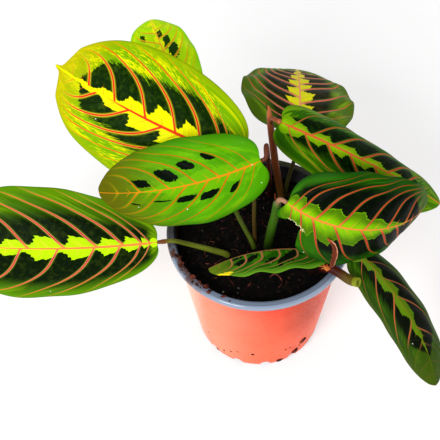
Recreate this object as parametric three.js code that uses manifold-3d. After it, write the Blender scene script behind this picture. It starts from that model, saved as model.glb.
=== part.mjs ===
// A potted prayer plant: a small nursery pot full of potting soil, with nine broad patterned leaves
// on slender leaf stalks and one creeping stem that leans over the rim.
// Millimetres, +Z up. The origin is the centre of the pot's flat base, and -Y is the plant's front.
import * as THREE from "three";
import { mergeVertices } from "three/addons/utils/BufferGeometryUtils.js";
import Module from "manifold-3d";

const wasm = await Module();
wasm.setup();

const DEGREE = Math.PI / 180;
const TURN = 2 * Math.PI;
const GAP = 0.3; // left between two pieces that touch

// ---- Driving dimensions of the pot and its soil ----
const POT_HEIGHT = 110;
const POT_WALL = 1.2;
const RIM_RADIUS = 60;
const MOUTH_RADIUS = 55;
const RIM_DROP = 3.4; // how far the rim's outer edge is rolled down
const SHOULDER_RADIUS = 56.2; // outside of the wall just under the rim
const FOOT_RADIUS = 44.6; // outside of the wall just above the rounded bottom corner
const BASE_RADIUS = 39; // the flat that the pot stands on
const CORNER_HEIGHT = 6;
const CORNER_LIFT = 0.6; // height of the point that the bottom corner's curve is drawn towards
const POT_SIDES = 40;
const DRAIN_NOTCHES = 14;
const DRAIN_RADIUS = 3.8;
const DRAIN_LENGTH = 10;
const DRAIN_HEIGHT = 2.6;
const DRAIN_TURN = -88 * DEGREE;
const SOIL_LEVEL = 101;
const SOIL_EDGE_LEVEL = 99;
const SOIL_SIDES = 32;
const SOIL_RINGS = 7;
const SOIL_LUMP = 1.1;
const SOIL_CORNER = 5; // the hollow left behind the drain notches
const SOIL_SETBACK = 0.9; // how far the soil has shrunk from the wall at its top

// ---- Driving dimensions that every leaf shares ----
const BLADE_THICKNESS = 0.7;
const BLADE_COLUMNS = 8;
const BLADE_ROWS = 20;
const VEINS = 10; // side veins on each half of a leaf
const VEIN_SWEEP = 0.85; // how strongly the side veins lean towards the tip
const SWEEP_POWER = 1.5;
const END_CROWDING = 0.6; // how much closer the side veins stand at the base and the tip
const PLEAT = 0.45; // height of the soft ridges between side veins
const MARGIN_WAVE = 1.3;
const MARGIN_WAVES = 3.5;
const BASAL_LOBE = 0.11; // how far the rounded base reaches back beside the stalk, as a share of the length
const LOBE_FADE = 6;
const BLUNT_END = 1.9; // half width of a blade where it meets its stalk and at its tip
const TIP_TAPER = 0.4; // how much narrower than a round one the tip is
const TIP_POWER = 18;
const MIDRIB_STEPS = 24;

// ---- Each leaf: where its midrib starts, and how it runs, folds and curls from there ----
// base is the start of the midrib. heading is its compass angle from +X towards +Y and sway is what it
// gains along the leaf; pitch is its rise and droop what it loses; roll lifts the left half and twist adds
// to it. fold and curl are for the left and the right half: the angle at the midrib, and what is added to
// it by the margin. rise and fall are the outline's powers at its base and tip.
const LEAVES = {
  left: {
    base: [-64, -20, 129], heading: 188, sway: -18, pitch: 6, droop: 4, roll: -52, twist: 0,
    length: 131, halfWidth: 38, fold: [-9, -5], curl: [-18, -14],
    rise: 0.6, fall: 0.39, colour: 0x3f8f1c,
  },
  upper_left: {
    base: [-12, 2, 177], heading: 160, sway: -18, pitch: 13, droop: 0, roll: -38, twist: -3,
    length: 124, halfWidth: 40.5, fold: [-7, -4], curl: [-20, -12],
    rise: 0.47, fall: 0.49, colour: 0xa9c417,
  },
  middle: {
    base: [0, -13.5, 192.5], heading: 194, sway: -36, pitch: -16, droop: 0, roll: -50, twist: -16,
    length: 100.5, halfWidth: 27, fold: [-6, -2], curl: [-15, -13],
    rise: 0.48, fall: 0.57, colour: 0x62b80f,
  },
  back_left: {
    base: [-42, 54, 167], heading: 107, sway: -5, pitch: 17, droop: 33, roll: -5, twist: 0,
    length: 91, halfWidth: 22.5, fold: [-5, -9], curl: [-15, -20],
    rise: 0.49, fall: 0.42, colour: 0x7fb81e,
  },
  back_right: {
    base: [27.5, 29, 170], heading: 83.5, sway: 1.5, pitch: -8.5, droop: 32.5, roll: 7, twist: 0,
    length: 113.5, halfWidth: 38.5, fold: [-1, -2], curl: [-8, -20],
    rise: 0.45, fall: 0.49, colour: 0x3b5a1a,
  },
  right: {
    base: [14, 17, 190], heading: -18.5, sway: 16, pitch: -19, droop: 25, roll: 37, twist: -11,
    length: 120.5, halfWidth: 30.5, fold: [-19, -31], curl: [-64, -46],
    rise: 0.53, fall: 0.58, colour: 0x3f7f1c,
  },
  front_right: {
    base: [13.5, -30, 174], heading: -35, sway: 94, pitch: -20, droop: -3.5, roll: 60, twist: 30,
    length: 106.5, halfWidth: 35, fold: [-3, -16], curl: [-13, -5],
    rise: 0.46, fall: 0.64, colour: 0x4fa517,
    torn: { until: 0.2, keep: 0.36 },
  },
  folded: {
    base: [39.5, -29, 120], heading: 171, sway: 23, pitch: 14, droop: 37, roll: 24, twist: 3,
    length: 75, halfWidth: 18, fold: [-11, -60], curl: [-10, -20],
    rise: 0.47, fall: 0.51, colour: 0x2f6a1c,
  },
  trailing: {
    base: [59, -30, 119.5], heading: -48, sway: -7.5, pitch: -12.5, droop: 59, roll: 9.5, twist: 9,
    length: 107.5, halfWidth: 23.5, fold: [-25, -31], curl: [-44, -54],
    rise: 0.46, fall: 0.5, colour: 0x2c5c18,
  },
};

// ---- Each leaf stalk: the points that it passes, from its foot in the soil up to the leaf's base ----
// The last stretch, the swollen joint under the blade, is led in along the midrib by "joint" millimetres.
// sheathed is how far up a sheath clasps the stalk, and the sheath's radius there.
const STALKS = {
  left: {
    through: [[-21.5, -13.5, 90], [-21.5, -13.5, 101], [-30, -13.8, 107.5], [-46, -14.8, 118]],
    foot: 2.3, top: 1.15, joint: 9,
  },
  upper_left: {
    through: [[-2.8, -4.2, 90], [-2.8, -4.2, 102], [-3.2, -3.4, 125], [-3, -2, 155]],
    foot: 1.4, top: 1.15, joint: 9,
  },
  middle: {
    through: [[9.7, 33, 90], [9.7, 33, 101], [8.4, 20, 134], [6, 6, 170], [4.2, -3, 192], [3.4, -7.5, 197.5]],
    foot: 1.6, top: 1.2, joint: 3,
  },
  back_left: {
    through: [[-4, -8.5, 90], [-4, -8.5, 102], [-12.5, 2.5, 119], [-27, 25, 146], [-36, 38, 160]],
    foot: 1.7, top: 1.1, joint: 8,
  },
  back_right: {
    through: [
      [20.3, 32.5, 90], [20.3, 32.5, 102], [21.5, 31, 118],
      [23.8, 27, 140], [26, 20.5, 161], [27, 23, 169],
    ],
    foot: 1.5, top: 1.1, joint: 3,
  },
  front_right: {
    through: [
      [5.4, -9.6, 90], [5.4, -9.6, 102], [6.6, -16.2, 131],
      [8, -20.6, 150], [8.8, -26, 170], [9.8, -27.7, 174.4],
    ],
    foot: 3.1, top: 1.2, joint: 2.5, sheathed: { until: 0.87, radius: 2.4 },
  },
};

// ---- The stout sheathed stalk that carries the right-hand leaf ----
const SHEATH_THROUGH = [
  [17.4, 28, 90], [17.4, 28, 101], [15.6, 27.6, 118], [12.4, 27, 143],
  [10.4, 26.6, 163], [8.8, 26.4, 179], [7.6, 26.6, 194],
];
const SHEATH_RADIUS = 2.4;
const SHEATH_TAPER = 0.45;
const SHEATH_TIP_RADIUS = 0.5;
const SHEATH_JOINT = { through: [[9.2, 26, 180], [9.6, 22.5, 187.5]], foot: 1.2, top: 1.35, joint: 2 };

// ---- The creeping stem that leans over the rim, and the two stalks that spring from its joint ----
const CREEPER_THROUGH = [
  [30, -28.5, 90], [30.5, -28.8, 98], [35, -32, 107],
  [40.3, -35.7, 113.7], [46, -40.2, 114], [52.6, -45.6, 113], [56.8, -49, 115.4],
];
const CREEPER_RADIUS = 2.5;
const CREEPER_END_RADIUS = 3.1;
const CREEPER_JOINT_AT = 0.52; // share of the stem's length where the swollen joint sits
const CREEPER_JOINT_LENGTH = 0.06;
const CREEPER_JOINT_SWELL = 0.7;
const CREEPER_HOLLOW_RADIUS = 1.7;
const CREEPER_HOLLOW_DEPTH = 6;
const CREEPER_STALKS = {
  folded: {
    through: [[40.3, -35.7, 113.7], [44.6, -33.5, 117], [44.4, -30.6, 119]],
    foot: 1.4, top: 1.1, joint: 2,
  },
  trailing: {
    through: [[40.3, -35.7, 113.7], [46, -32.5, 118.5], [51.5, -26.6, 121]],
    foot: 1.5, top: 1.2, joint: 5,
  },
};

// ---- The dry papery sheath left on the creeping stem's joint ----
const DRY_THROUGH = [
  [40.2, -38.2, 117.1], [40.7, -42.8, 124], [41.3, -43.5, 131.7], [41.7, -43.5, 139], [40.4, -43.2, 147],
  [36.1, -42.8, 155],
];
const DRY_HALF_WIDTH = 1.9; // at its middle; its two ends are less than half as wide
const DRY_FACING = [1, 0, 0];
const DRY_THICKNESS = 0.8;

const STALK_SIDES = 8;
const STALK_STEPS = 14;
const SWELL_AT = 0.94; // share of a stalk's length where its joint is thickest
const SWELL_LENGTH = 0.03;
const SWELL_SHARE = 0.25; // how much thicker it is there

const vector = (point) => new THREE.Vector3(...point);
const mix = (from, to, share) => from + (to - from) * share;

// ---- Solids: joining and cutting closed meshes ----
function solidOf(geometry) {
  const bare = geometry.clone();
  bare.deleteAttribute("normal");
  bare.deleteAttribute("uv");
  const merged = mergeVertices(bare, 1e-4);
  return new wasm.Manifold(
    new wasm.Mesh({
      numProp: 3,
      vertProperties: new Float32Array(merged.attributes.position.array),
      triVerts: new Uint32Array(merged.index.array),
    }),
  );
}

function geometryOf(solid) {
  const mesh = solid.getMesh();
  const geometry = new THREE.BufferGeometry();
  geometry.setAttribute("position", new THREE.BufferAttribute(mesh.vertProperties, 3));
  geometry.setIndex(new THREE.BufferAttribute(mesh.triVerts, 1));
  geometry.computeVertexNormals();
  return geometry;
}

const joined = (geometries) => geometryOf(geometries.map(solidOf).reduce((sum, next) => sum.add(next)));
const cut = (geometry, cutters) =>
  geometryOf(cutters.map(solidOf).reduce((rest, cutter) => rest.subtract(cutter), solidOf(geometry)));

// A profile of radius and height, turned round the Z axis.
function turned(path, curveSteps, sides) {
  return new THREE.LatheGeometry(path.getPoints(curveSteps), sides).rotateX(Math.PI / 2);
}

// ---- The pot ----
// The wall's outside radius at a height, between the rounded bottom corner and the rim.
function wallRadius(height) {
  const share = (height - CORNER_HEIGHT) / (POT_HEIGHT - CORNER_HEIGHT);
  return mix(FOOT_RADIUS, SHOULDER_RADIUS, share);
}

function potGeometry() {
  const inside = (height) => wallRadius(height) - POT_WALL;
  const underRim = POT_HEIGHT - POT_WALL;
  const skirt = RIM_RADIUS - POT_WALL;
  const profile = new THREE.Path();
  profile.moveTo(0, 0);
  profile.lineTo(BASE_RADIUS, 0);
  profile.quadraticCurveTo(FOOT_RADIUS - 1, CORNER_LIFT, FOOT_RADIUS, CORNER_HEIGHT);
  profile.lineTo(wallRadius(underRim), underRim);
  profile.lineTo(skirt, underRim);
  profile.lineTo(skirt, POT_HEIGHT - RIM_DROP);
  profile.lineTo(RIM_RADIUS, POT_HEIGHT - RIM_DROP);
  profile.quadraticCurveTo(RIM_RADIUS, POT_HEIGHT, skirt, POT_HEIGHT);
  profile.lineTo(MOUTH_RADIUS, POT_HEIGHT);
  profile.lineTo(inside(CORNER_HEIGHT), CORNER_HEIGHT);
  profile.quadraticCurveTo(FOOT_RADIUS - 2, 2 * POT_WALL, BASE_RADIUS - 1, POT_WALL);
  profile.lineTo(0, POT_WALL);
  return cut(turned(profile, 3, POT_SIDES), drainNotches());
}

// Round notches through the bottom corner, which leave its lower edge scalloped.
function drainNotches() {
  return Array.from({ length: DRAIN_NOTCHES }, (_, number) => {
    const turn = DRAIN_TURN + (TURN * number) / DRAIN_NOTCHES;
    const notch = new THREE.CylinderGeometry(DRAIN_RADIUS, DRAIN_RADIUS, DRAIN_LENGTH, 10);
    notch.rotateZ(-135 * DEGREE);
    notch.translate(FOOT_RADIUS - 0.5, 0, DRAIN_HEIGHT);
    return notch.rotateZ(turn);
  });
}

// ---- The soil ----
function soilRelief(x, y) {
  const coarse = Math.sin(0.23 * x + 1.3) * Math.cos(0.19 * y - 0.7);
  const fine = Math.sin(0.52 * x - 0.31 * y) * Math.cos(0.47 * y + 0.36 * x);
  return SOIL_LUMP * (0.6 * coarse + 0.4 * fine);
}

function soilGeometry() {
  const side = POT_WALL + GAP;
  const edgeRadius = wallRadius(SOIL_EDGE_LEVEL) - side - SOIL_SETBACK;
  const profile = new THREE.Path();
  profile.moveTo(0, side);
  profile.lineTo(BASE_RADIUS - SOIL_CORNER, side);
  profile.lineTo(wallRadius(2 * SOIL_CORNER) - side - SOIL_SETBACK, 2 * SOIL_CORNER);
  profile.lineTo(edgeRadius, SOIL_EDGE_LEVEL);
  for (let ring = SOIL_RINGS - 1; ring >= 0; ring--) {
    const share = ring / SOIL_RINGS;
    profile.lineTo(share * edgeRadius, mix(SOIL_LEVEL, SOIL_EDGE_LEVEL, share ** 4));
  }
  const soil = turned(profile, 1, SOIL_SIDES);
  const place = soil.attributes.position;
  for (let i = 0; i < place.count; i++) {
    const lifted = place.getZ(i) > SOIL_EDGE_LEVEL - 1;
    if (lifted) place.setZ(i, place.getZ(i) + soilRelief(place.getX(i), place.getY(i)));
  }
  return cut(soil, stalkHoles());
}

// ---- Leaf blades ----
// The half width at a share of the midrib, as a share of the widest half width.
function widthShare(leaf, t) {
  const widest = leaf.rise / (leaf.rise + leaf.fall);
  const round = (t / widest) ** leaf.rise * ((1 - t) / (1 - widest)) ** leaf.fall;
  return round * (1 - TIP_TAPER * t ** TIP_POWER);
}

// Unit vectors at a share of the midrib: ahead along it, out along the left half, and up off the face.
function leafFrame(leaf, t) {
  const heading = (leaf.heading + leaf.sway * t) * DEGREE;
  const pitch = (leaf.pitch - leaf.droop * t) * DEGREE;
  const roll = (leaf.roll + leaf.twist * t) * DEGREE;
  const ahead = vector([
    Math.cos(pitch) * Math.cos(heading),
    Math.cos(pitch) * Math.sin(heading),
    Math.sin(pitch),
  ]);
  const level = vector([-Math.sin(heading), Math.cos(heading), 0]);
  const left = level.clone().multiplyScalar(Math.cos(roll));
  left.addScaledVector(ahead.clone().cross(level), Math.sin(roll));
  return { ahead, left, up: ahead.clone().cross(left) };
}

function midribPoint(leaf, t) {
  const point = vector(leaf.base);
  for (let step = 0; step < MIDRIB_STEPS; step++) {
    const { ahead } = leafFrame(leaf, (t * (step + 0.5)) / MIDRIB_STEPS);
    point.addScaledVector(ahead, (leaf.length * t) / MIDRIB_STEPS);
  }
  return point;
}

// A point of the blade's middle surface. along runs from base to tip down the row of side veins, and across
// runs from -1 at the right margin to 1 at the left one.
function bladePoint(leaf, along, across) {
  const out = Math.abs(across);
  const half = across > 0 ? 0 : 1;
  const start = mix(along, (1 - Math.cos(Math.PI * along)) / 2, END_CROWDING);
  const t = start + VEIN_SWEEP * start * (1 - start) * out ** SWEEP_POWER;
  const { ahead, left, up } = leafFrame(leaf, t);
  const share = widthShare(leaf, t);
  const torn = half === 1 && leaf.torn && along < leaf.torn.until;
  const spread = out * (torn ? leaf.torn.keep : 1);
  const reach = spread * mix(BLUNT_END, leaf.halfWidth, share);
  const fold = leaf.fold[half] * DEGREE;
  const bend = (leaf.curl[half] * DEGREE) / leaf.halfWidth;
  const aside = (Math.sin(fold + bend * reach) - Math.sin(fold)) / bend;
  const lift = (Math.cos(fold) - Math.cos(fold + bend * reach)) / bend;
  const phase = TURN * (VEINS * along + half / 2);
  const pleat = -PLEAT * Math.cos(phase) * 4 * out * (1 - out) * share;
  const wave = MARGIN_WAVE * out ** 3 * share * Math.sin(TURN * MARGIN_WAVES * t + leaf.heading + 2 * half);
  const lobe = BASAL_LOBE * leaf.length * spread ** 2 * (1 - t) ** LOBE_FADE * share;
  return midribPoint(leaf, t)
    .addScaledVector(left, Math.sign(across) * aside)
    .addScaledVector(up, lift + pleat + wave)
    .addScaledVector(ahead, -lobe);
}

// A thin closed sheet: one plane's split is used on both faces, and a strip of triangles closes its edge.
function sheetGeometry(pointAt, columns, rows, thickness) {
  const plane = new THREE.PlaneGeometry(1, 1, columns, rows);
  const { position, uv } = plane.attributes;
  for (let i = 0; i < position.count; i++) position.setXYZ(i, ...pointAt(uv.getX(i), uv.getY(i)));
  plane.computeVertexNormals();
  const points = [];
  for (const side of [0.5, -0.5]) {
    for (let i = 0; i < position.count; i++) {
      const point = new THREE.Vector3().fromBufferAttribute(position, i);
      const normal = new THREE.Vector3().fromBufferAttribute(plane.attributes.normal, i);
      points.push(...point.addScaledVector(normal, side * thickness));
    }
  }
  const faces = plane.index.array;
  const under = position.count;
  const index = [...faces];
  for (let i = 0; i < faces.length; i += 3) {
    index.push(under + faces[i], under + faces[i + 2], under + faces[i + 1]);
  }
  const border = sheetBorder(columns, rows);
  border.forEach((here, i) => {
    const next = border[(i + 1) % border.length];
    index.push(next, here, under + here, next, under + here, under + next);
  });
  const sheet = new THREE.BufferGeometry();
  sheet.setAttribute("position", new THREE.Float32BufferAttribute(points, 3));
  sheet.setIndex(index);
  return sheet;
}

// The numbers of a plane's border vertices, once round it.
function sheetBorder(columns, rows) {
  const at = (column, row) => column + (columns + 1) * row;
  const border = [];
  for (let column = 0; column < columns; column++) border.push(at(column, rows));
  for (let row = rows; row > 0; row--) border.push(at(columns, row));
  for (let column = columns; column > 0; column--) border.push(at(column, 0));
  for (let row = 0; row < rows; row++) border.push(at(0, row));
  return border;
}

function bladeGeometry(leaf) {
  const pointAt = (x, y) => bladePoint(leaf, y, 1 - 2 * x);
  return sheetGeometry(pointAt, BLADE_COLUMNS, BLADE_ROWS, BLADE_THICKNESS);
}

// ---- Stalks and stems ----
// A closed round tube along a curve, whose radius follows the share of its length. reach pushes its first
// ring back, for a hole that runs a little deeper than what stands in it.
function tubeGeometry(curve, radiusAt, steps, reach = 0) {
  const tube = new THREE.CylinderGeometry(1, 1, 1, STALK_SIDES, steps);
  const frames = curve.computeFrenetFrames(steps);
  const position = tube.attributes.position;
  for (let i = 0; i < position.count; i++) {
    const step = Math.round((position.getY(i) + 0.5) * steps);
    const share = step / steps;
    const radius = radiusAt(share);
    const point = curve.getPointAt(share);
    point.addScaledVector(frames.normals[step], radius * position.getX(i));
    point.addScaledVector(frames.binormals[step], -radius * position.getZ(i));
    if (step === 0) point.addScaledVector(frames.tangents[0], -reach);
    position.setXYZ(i, ...point);
  }
  return tube;
}

// The curve of a leaf stalk: through its points, and led in to the leaf's base along the midrib.
function stalkCurve(stalk, leaf) {
  const { ahead } = leafFrame(leaf, 0);
  const ledIn = (distance) => vector(leaf.base).addScaledVector(ahead, -distance);
  const last = [stalk.joint, stalk.joint / 2, GAP].map(ledIn);
  return new THREE.CatmullRomCurve3([...stalk.through.map(vector), ...last]);
}

function stalkRadius(stalk) {
  return (share) => {
    const { sheathed } = stalk;
    if (sheathed && share < sheathed.until) return mix(stalk.foot, sheathed.radius, share / sheathed.until);
    const swell = Math.exp(-(((share - SWELL_AT) / SWELL_LENGTH) ** 2));
    const bare = sheathed ? stalk.top : mix(stalk.foot, stalk.top, share);
    return bare * (1 + SWELL_SHARE * swell);
  };
}

const stalkGeometry = (stalk, leaf) => tubeGeometry(stalkCurve(stalk, leaf), stalkRadius(stalk), STALK_STEPS);

const sheathCurve = () => new THREE.CatmullRomCurve3(SHEATH_THROUGH.map(vector));

function sheathRadius(share) {
  if (share === 1) return SHEATH_TIP_RADIUS;
  return SHEATH_RADIUS * (1 - SHEATH_TAPER * share ** 6);
}

function sheathedStalkGeometry(leaf) {
  const sheath = tubeGeometry(sheathCurve(), sheathRadius, STALK_STEPS);
  return joined([sheath, stalkGeometry(SHEATH_JOINT, leaf)]);
}

const creeperCurve = () => new THREE.CatmullRomCurve3(CREEPER_THROUGH.map(vector));

function creeperRadius(share) {
  const swell = Math.exp(-(((share - CREEPER_JOINT_AT) / CREEPER_JOINT_LENGTH) ** 2));
  return mix(CREEPER_RADIUS, CREEPER_END_RADIUS, share) + CREEPER_JOINT_SWELL * swell;
}

function creeperGeometry() {
  const curve = creeperCurve();
  const stem = tubeGeometry(curve, creeperRadius, STALK_STEPS);
  const end = curve.getPointAt(1);
  const inward = curve.getTangentAt(1).multiplyScalar(-CREEPER_HOLLOW_DEPTH);
  const core = new THREE.LineCurve3(end.clone().add(inward), end.clone().sub(inward));
  const hollowed = cut(stem, [tubeGeometry(core, () => CREEPER_HOLLOW_RADIUS, 1)]);
  const stalks = Object.entries(CREEPER_STALKS).map(([name, stalk]) => stalkGeometry(stalk, LEAVES[name]));
  return joined([hollowed, ...stalks]);
}

// Plain holes that the stalks, the sheath and the creeping stem stand in.
function stalkHoles() {
  const wider = (radiusAt) => (share) => radiusAt(share) + GAP + 0.1;
  const hole = (curve, radiusAt) => tubeGeometry(curve, wider(radiusAt), STALK_STEPS, GAP);
  const holes = Object.entries(STALKS).map(([name, stalk]) =>
    hole(stalkCurve(stalk, LEAVES[name]), stalkRadius(stalk)),
  );
  return [...holes, hole(sheathCurve(), sheathRadius), hole(creeperCurve(), creeperRadius)];
}

function drySheathGeometry() {
  const curve = new THREE.CatmullRomCurve3(DRY_THROUGH.map(vector));
  const pointAt = (x, y) => {
    const along = curve.getTangentAt(y);
    const aside = vector(DRY_FACING).cross(along).cross(along).normalize();
    const half = DRY_HALF_WIDTH * (0.4 + 0.6 * Math.sin(Math.PI * y));
    return curve.getPointAt(y).addScaledVector(aside, (2 * x - 1) * half);
  };
  return sheetGeometry(pointAt, 2, 10, DRY_THICKNESS);
}

// ---- The plant in its pot ----
const part = new THREE.Group();

function addPiece(name, geometry, color, roughness) {
  const material = new THREE.MeshStandardMaterial({ color, roughness, metalness: 0 });
  const mesh = new THREE.Mesh(geometry, material);
  mesh.name = name;
  part.add(mesh);
}

addPiece("pot", potGeometry(), 0xe8714f, 0.45);
addPiece("soil", soilGeometry(), 0x1c1410, 0.95);
for (const [name, leaf] of Object.entries(LEAVES)) {
  addPiece("leaf_" + name, bladeGeometry(leaf), leaf.colour, 0.5);
}
for (const [name, stalk] of Object.entries(STALKS)) {
  addPiece("stalk_" + name, stalkGeometry(stalk, LEAVES[name]), 0x5c7a24, 0.55);
}
addPiece("stalk_right", sheathedStalkGeometry(LEAVES.right), 0x8a4a24, 0.6);
addPiece("creeping_stem", creeperGeometry(), 0x6e4a20, 0.6);
addPiece("dry_sheath", drySheathGeometry(), 0xa8683a, 0.8);

export default part;
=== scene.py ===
import math
import random

import bmesh
import bpy
import numpy as np
from mathutils import Matrix, Vector, noise


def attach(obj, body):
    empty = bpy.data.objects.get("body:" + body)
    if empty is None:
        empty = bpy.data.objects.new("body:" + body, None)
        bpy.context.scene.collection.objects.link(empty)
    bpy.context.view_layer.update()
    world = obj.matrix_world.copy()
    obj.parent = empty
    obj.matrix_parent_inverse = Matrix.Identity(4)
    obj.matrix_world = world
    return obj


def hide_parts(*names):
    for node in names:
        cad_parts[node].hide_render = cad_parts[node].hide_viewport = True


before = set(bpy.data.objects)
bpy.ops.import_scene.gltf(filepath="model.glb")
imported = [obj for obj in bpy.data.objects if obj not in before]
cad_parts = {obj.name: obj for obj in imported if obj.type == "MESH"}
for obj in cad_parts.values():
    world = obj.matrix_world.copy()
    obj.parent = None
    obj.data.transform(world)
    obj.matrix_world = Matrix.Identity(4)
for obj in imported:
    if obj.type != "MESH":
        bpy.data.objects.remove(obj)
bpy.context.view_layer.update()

TURN = 2 * math.pi
MM = 0.001
MERGE = 1e-6  # corners nearer than this are one
ROUGHNESS_SEED = 8
noise.seed_set(ROUGHNESS_SEED)  # without it, noise_vector starts from the clock and differs in each run

# ---- The pot and its soil ----
POT_HEIGHT = 0.110
POT_WALL = 0.0012
RIM_RADIUS = 0.060
RIM_DROP = 0.0034
RIM_ROUND = (0.0017, 0.002)  # width and height of the rim's rounded outer edge
GROOVE = (0.0004, 0.0003)  # half width and depth of the fine groove round the top of the rim
MOUTH_RADIUS = 0.055
MOUTH_BEVEL = 0.0008
SHOULDER_RADIUS = 0.0562
FOOT_RADIUS = 0.0446
BASE_RADIUS = 0.039
CORNER_HEIGHT = 0.006
CORNER_LIFT = 0.0006  # height of the point that the bottom corner's curve is drawn towards
POT_STEPS = 160
DRAIN_NOTCHES = 14
DRAIN_RADIUS = 0.0038
DRAIN_LENGTH = 0.010
DRAIN_HEIGHT = 0.0026
DRAIN_SETBACK = 0.0005
DRAIN_SLANT = math.radians(45)
DRAIN_TURN = math.radians(-88)
SOIL_LEVEL = 0.101
SOIL_EDGE_LEVEL = 0.099
SOIL_CORNER = 0.005
SOIL_SETBACK = 0.0009
SOIL_LUMP = 0.0011
SOIL_CRUMBLE = 0.0007
SOIL_RINGS = 60
SOIL_STEPS = 150
GAP = 0.0003

# ---- What every leaf shares ----
BLADE_THICKNESS = 0.0006
BLADE_COLUMNS = 64
BLADE_ROWS = 144
RIB_STEPS = 96
VEIN_SWEEP = 0.85
SWEEP_POWER = 1.5
END_CROWDING = 0.6
PLEAT = 0.00045
MARGIN_WAVE = 0.0013
MARGIN_WAVES = 3.5
BASAL_LOBE = 0.11
LOBE_FADE = 6
BLUNT_END = 0.0019
TIP_TAPER = 0.4
TIP_POWER = 18
POINT_FROM = 0.935
POINT_TO = 0.975
VEIN_SLOTS = 16  # the vein number that the top of the vein map stands for
VEIN_START = 0.055
HOOK_POWER = 4.3
WIDEST_GAP = 25  # millimetres between veins, past which the gap isn't told apart
SPOT_SLANT = 0.25  # how much further along a spot lies for each step out
TEAR_FROM = 0.4
TEAR_AFTER = 0.07
TEAR_UNTIL = 0.088
TEAR_SLANTS = (0.1, 0.06)  # how much nearer the base the tear's near and far side are for each step out
TEAR_FRAY = 0.08  # how far out from where the tear starts its edge is dried and pale

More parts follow.
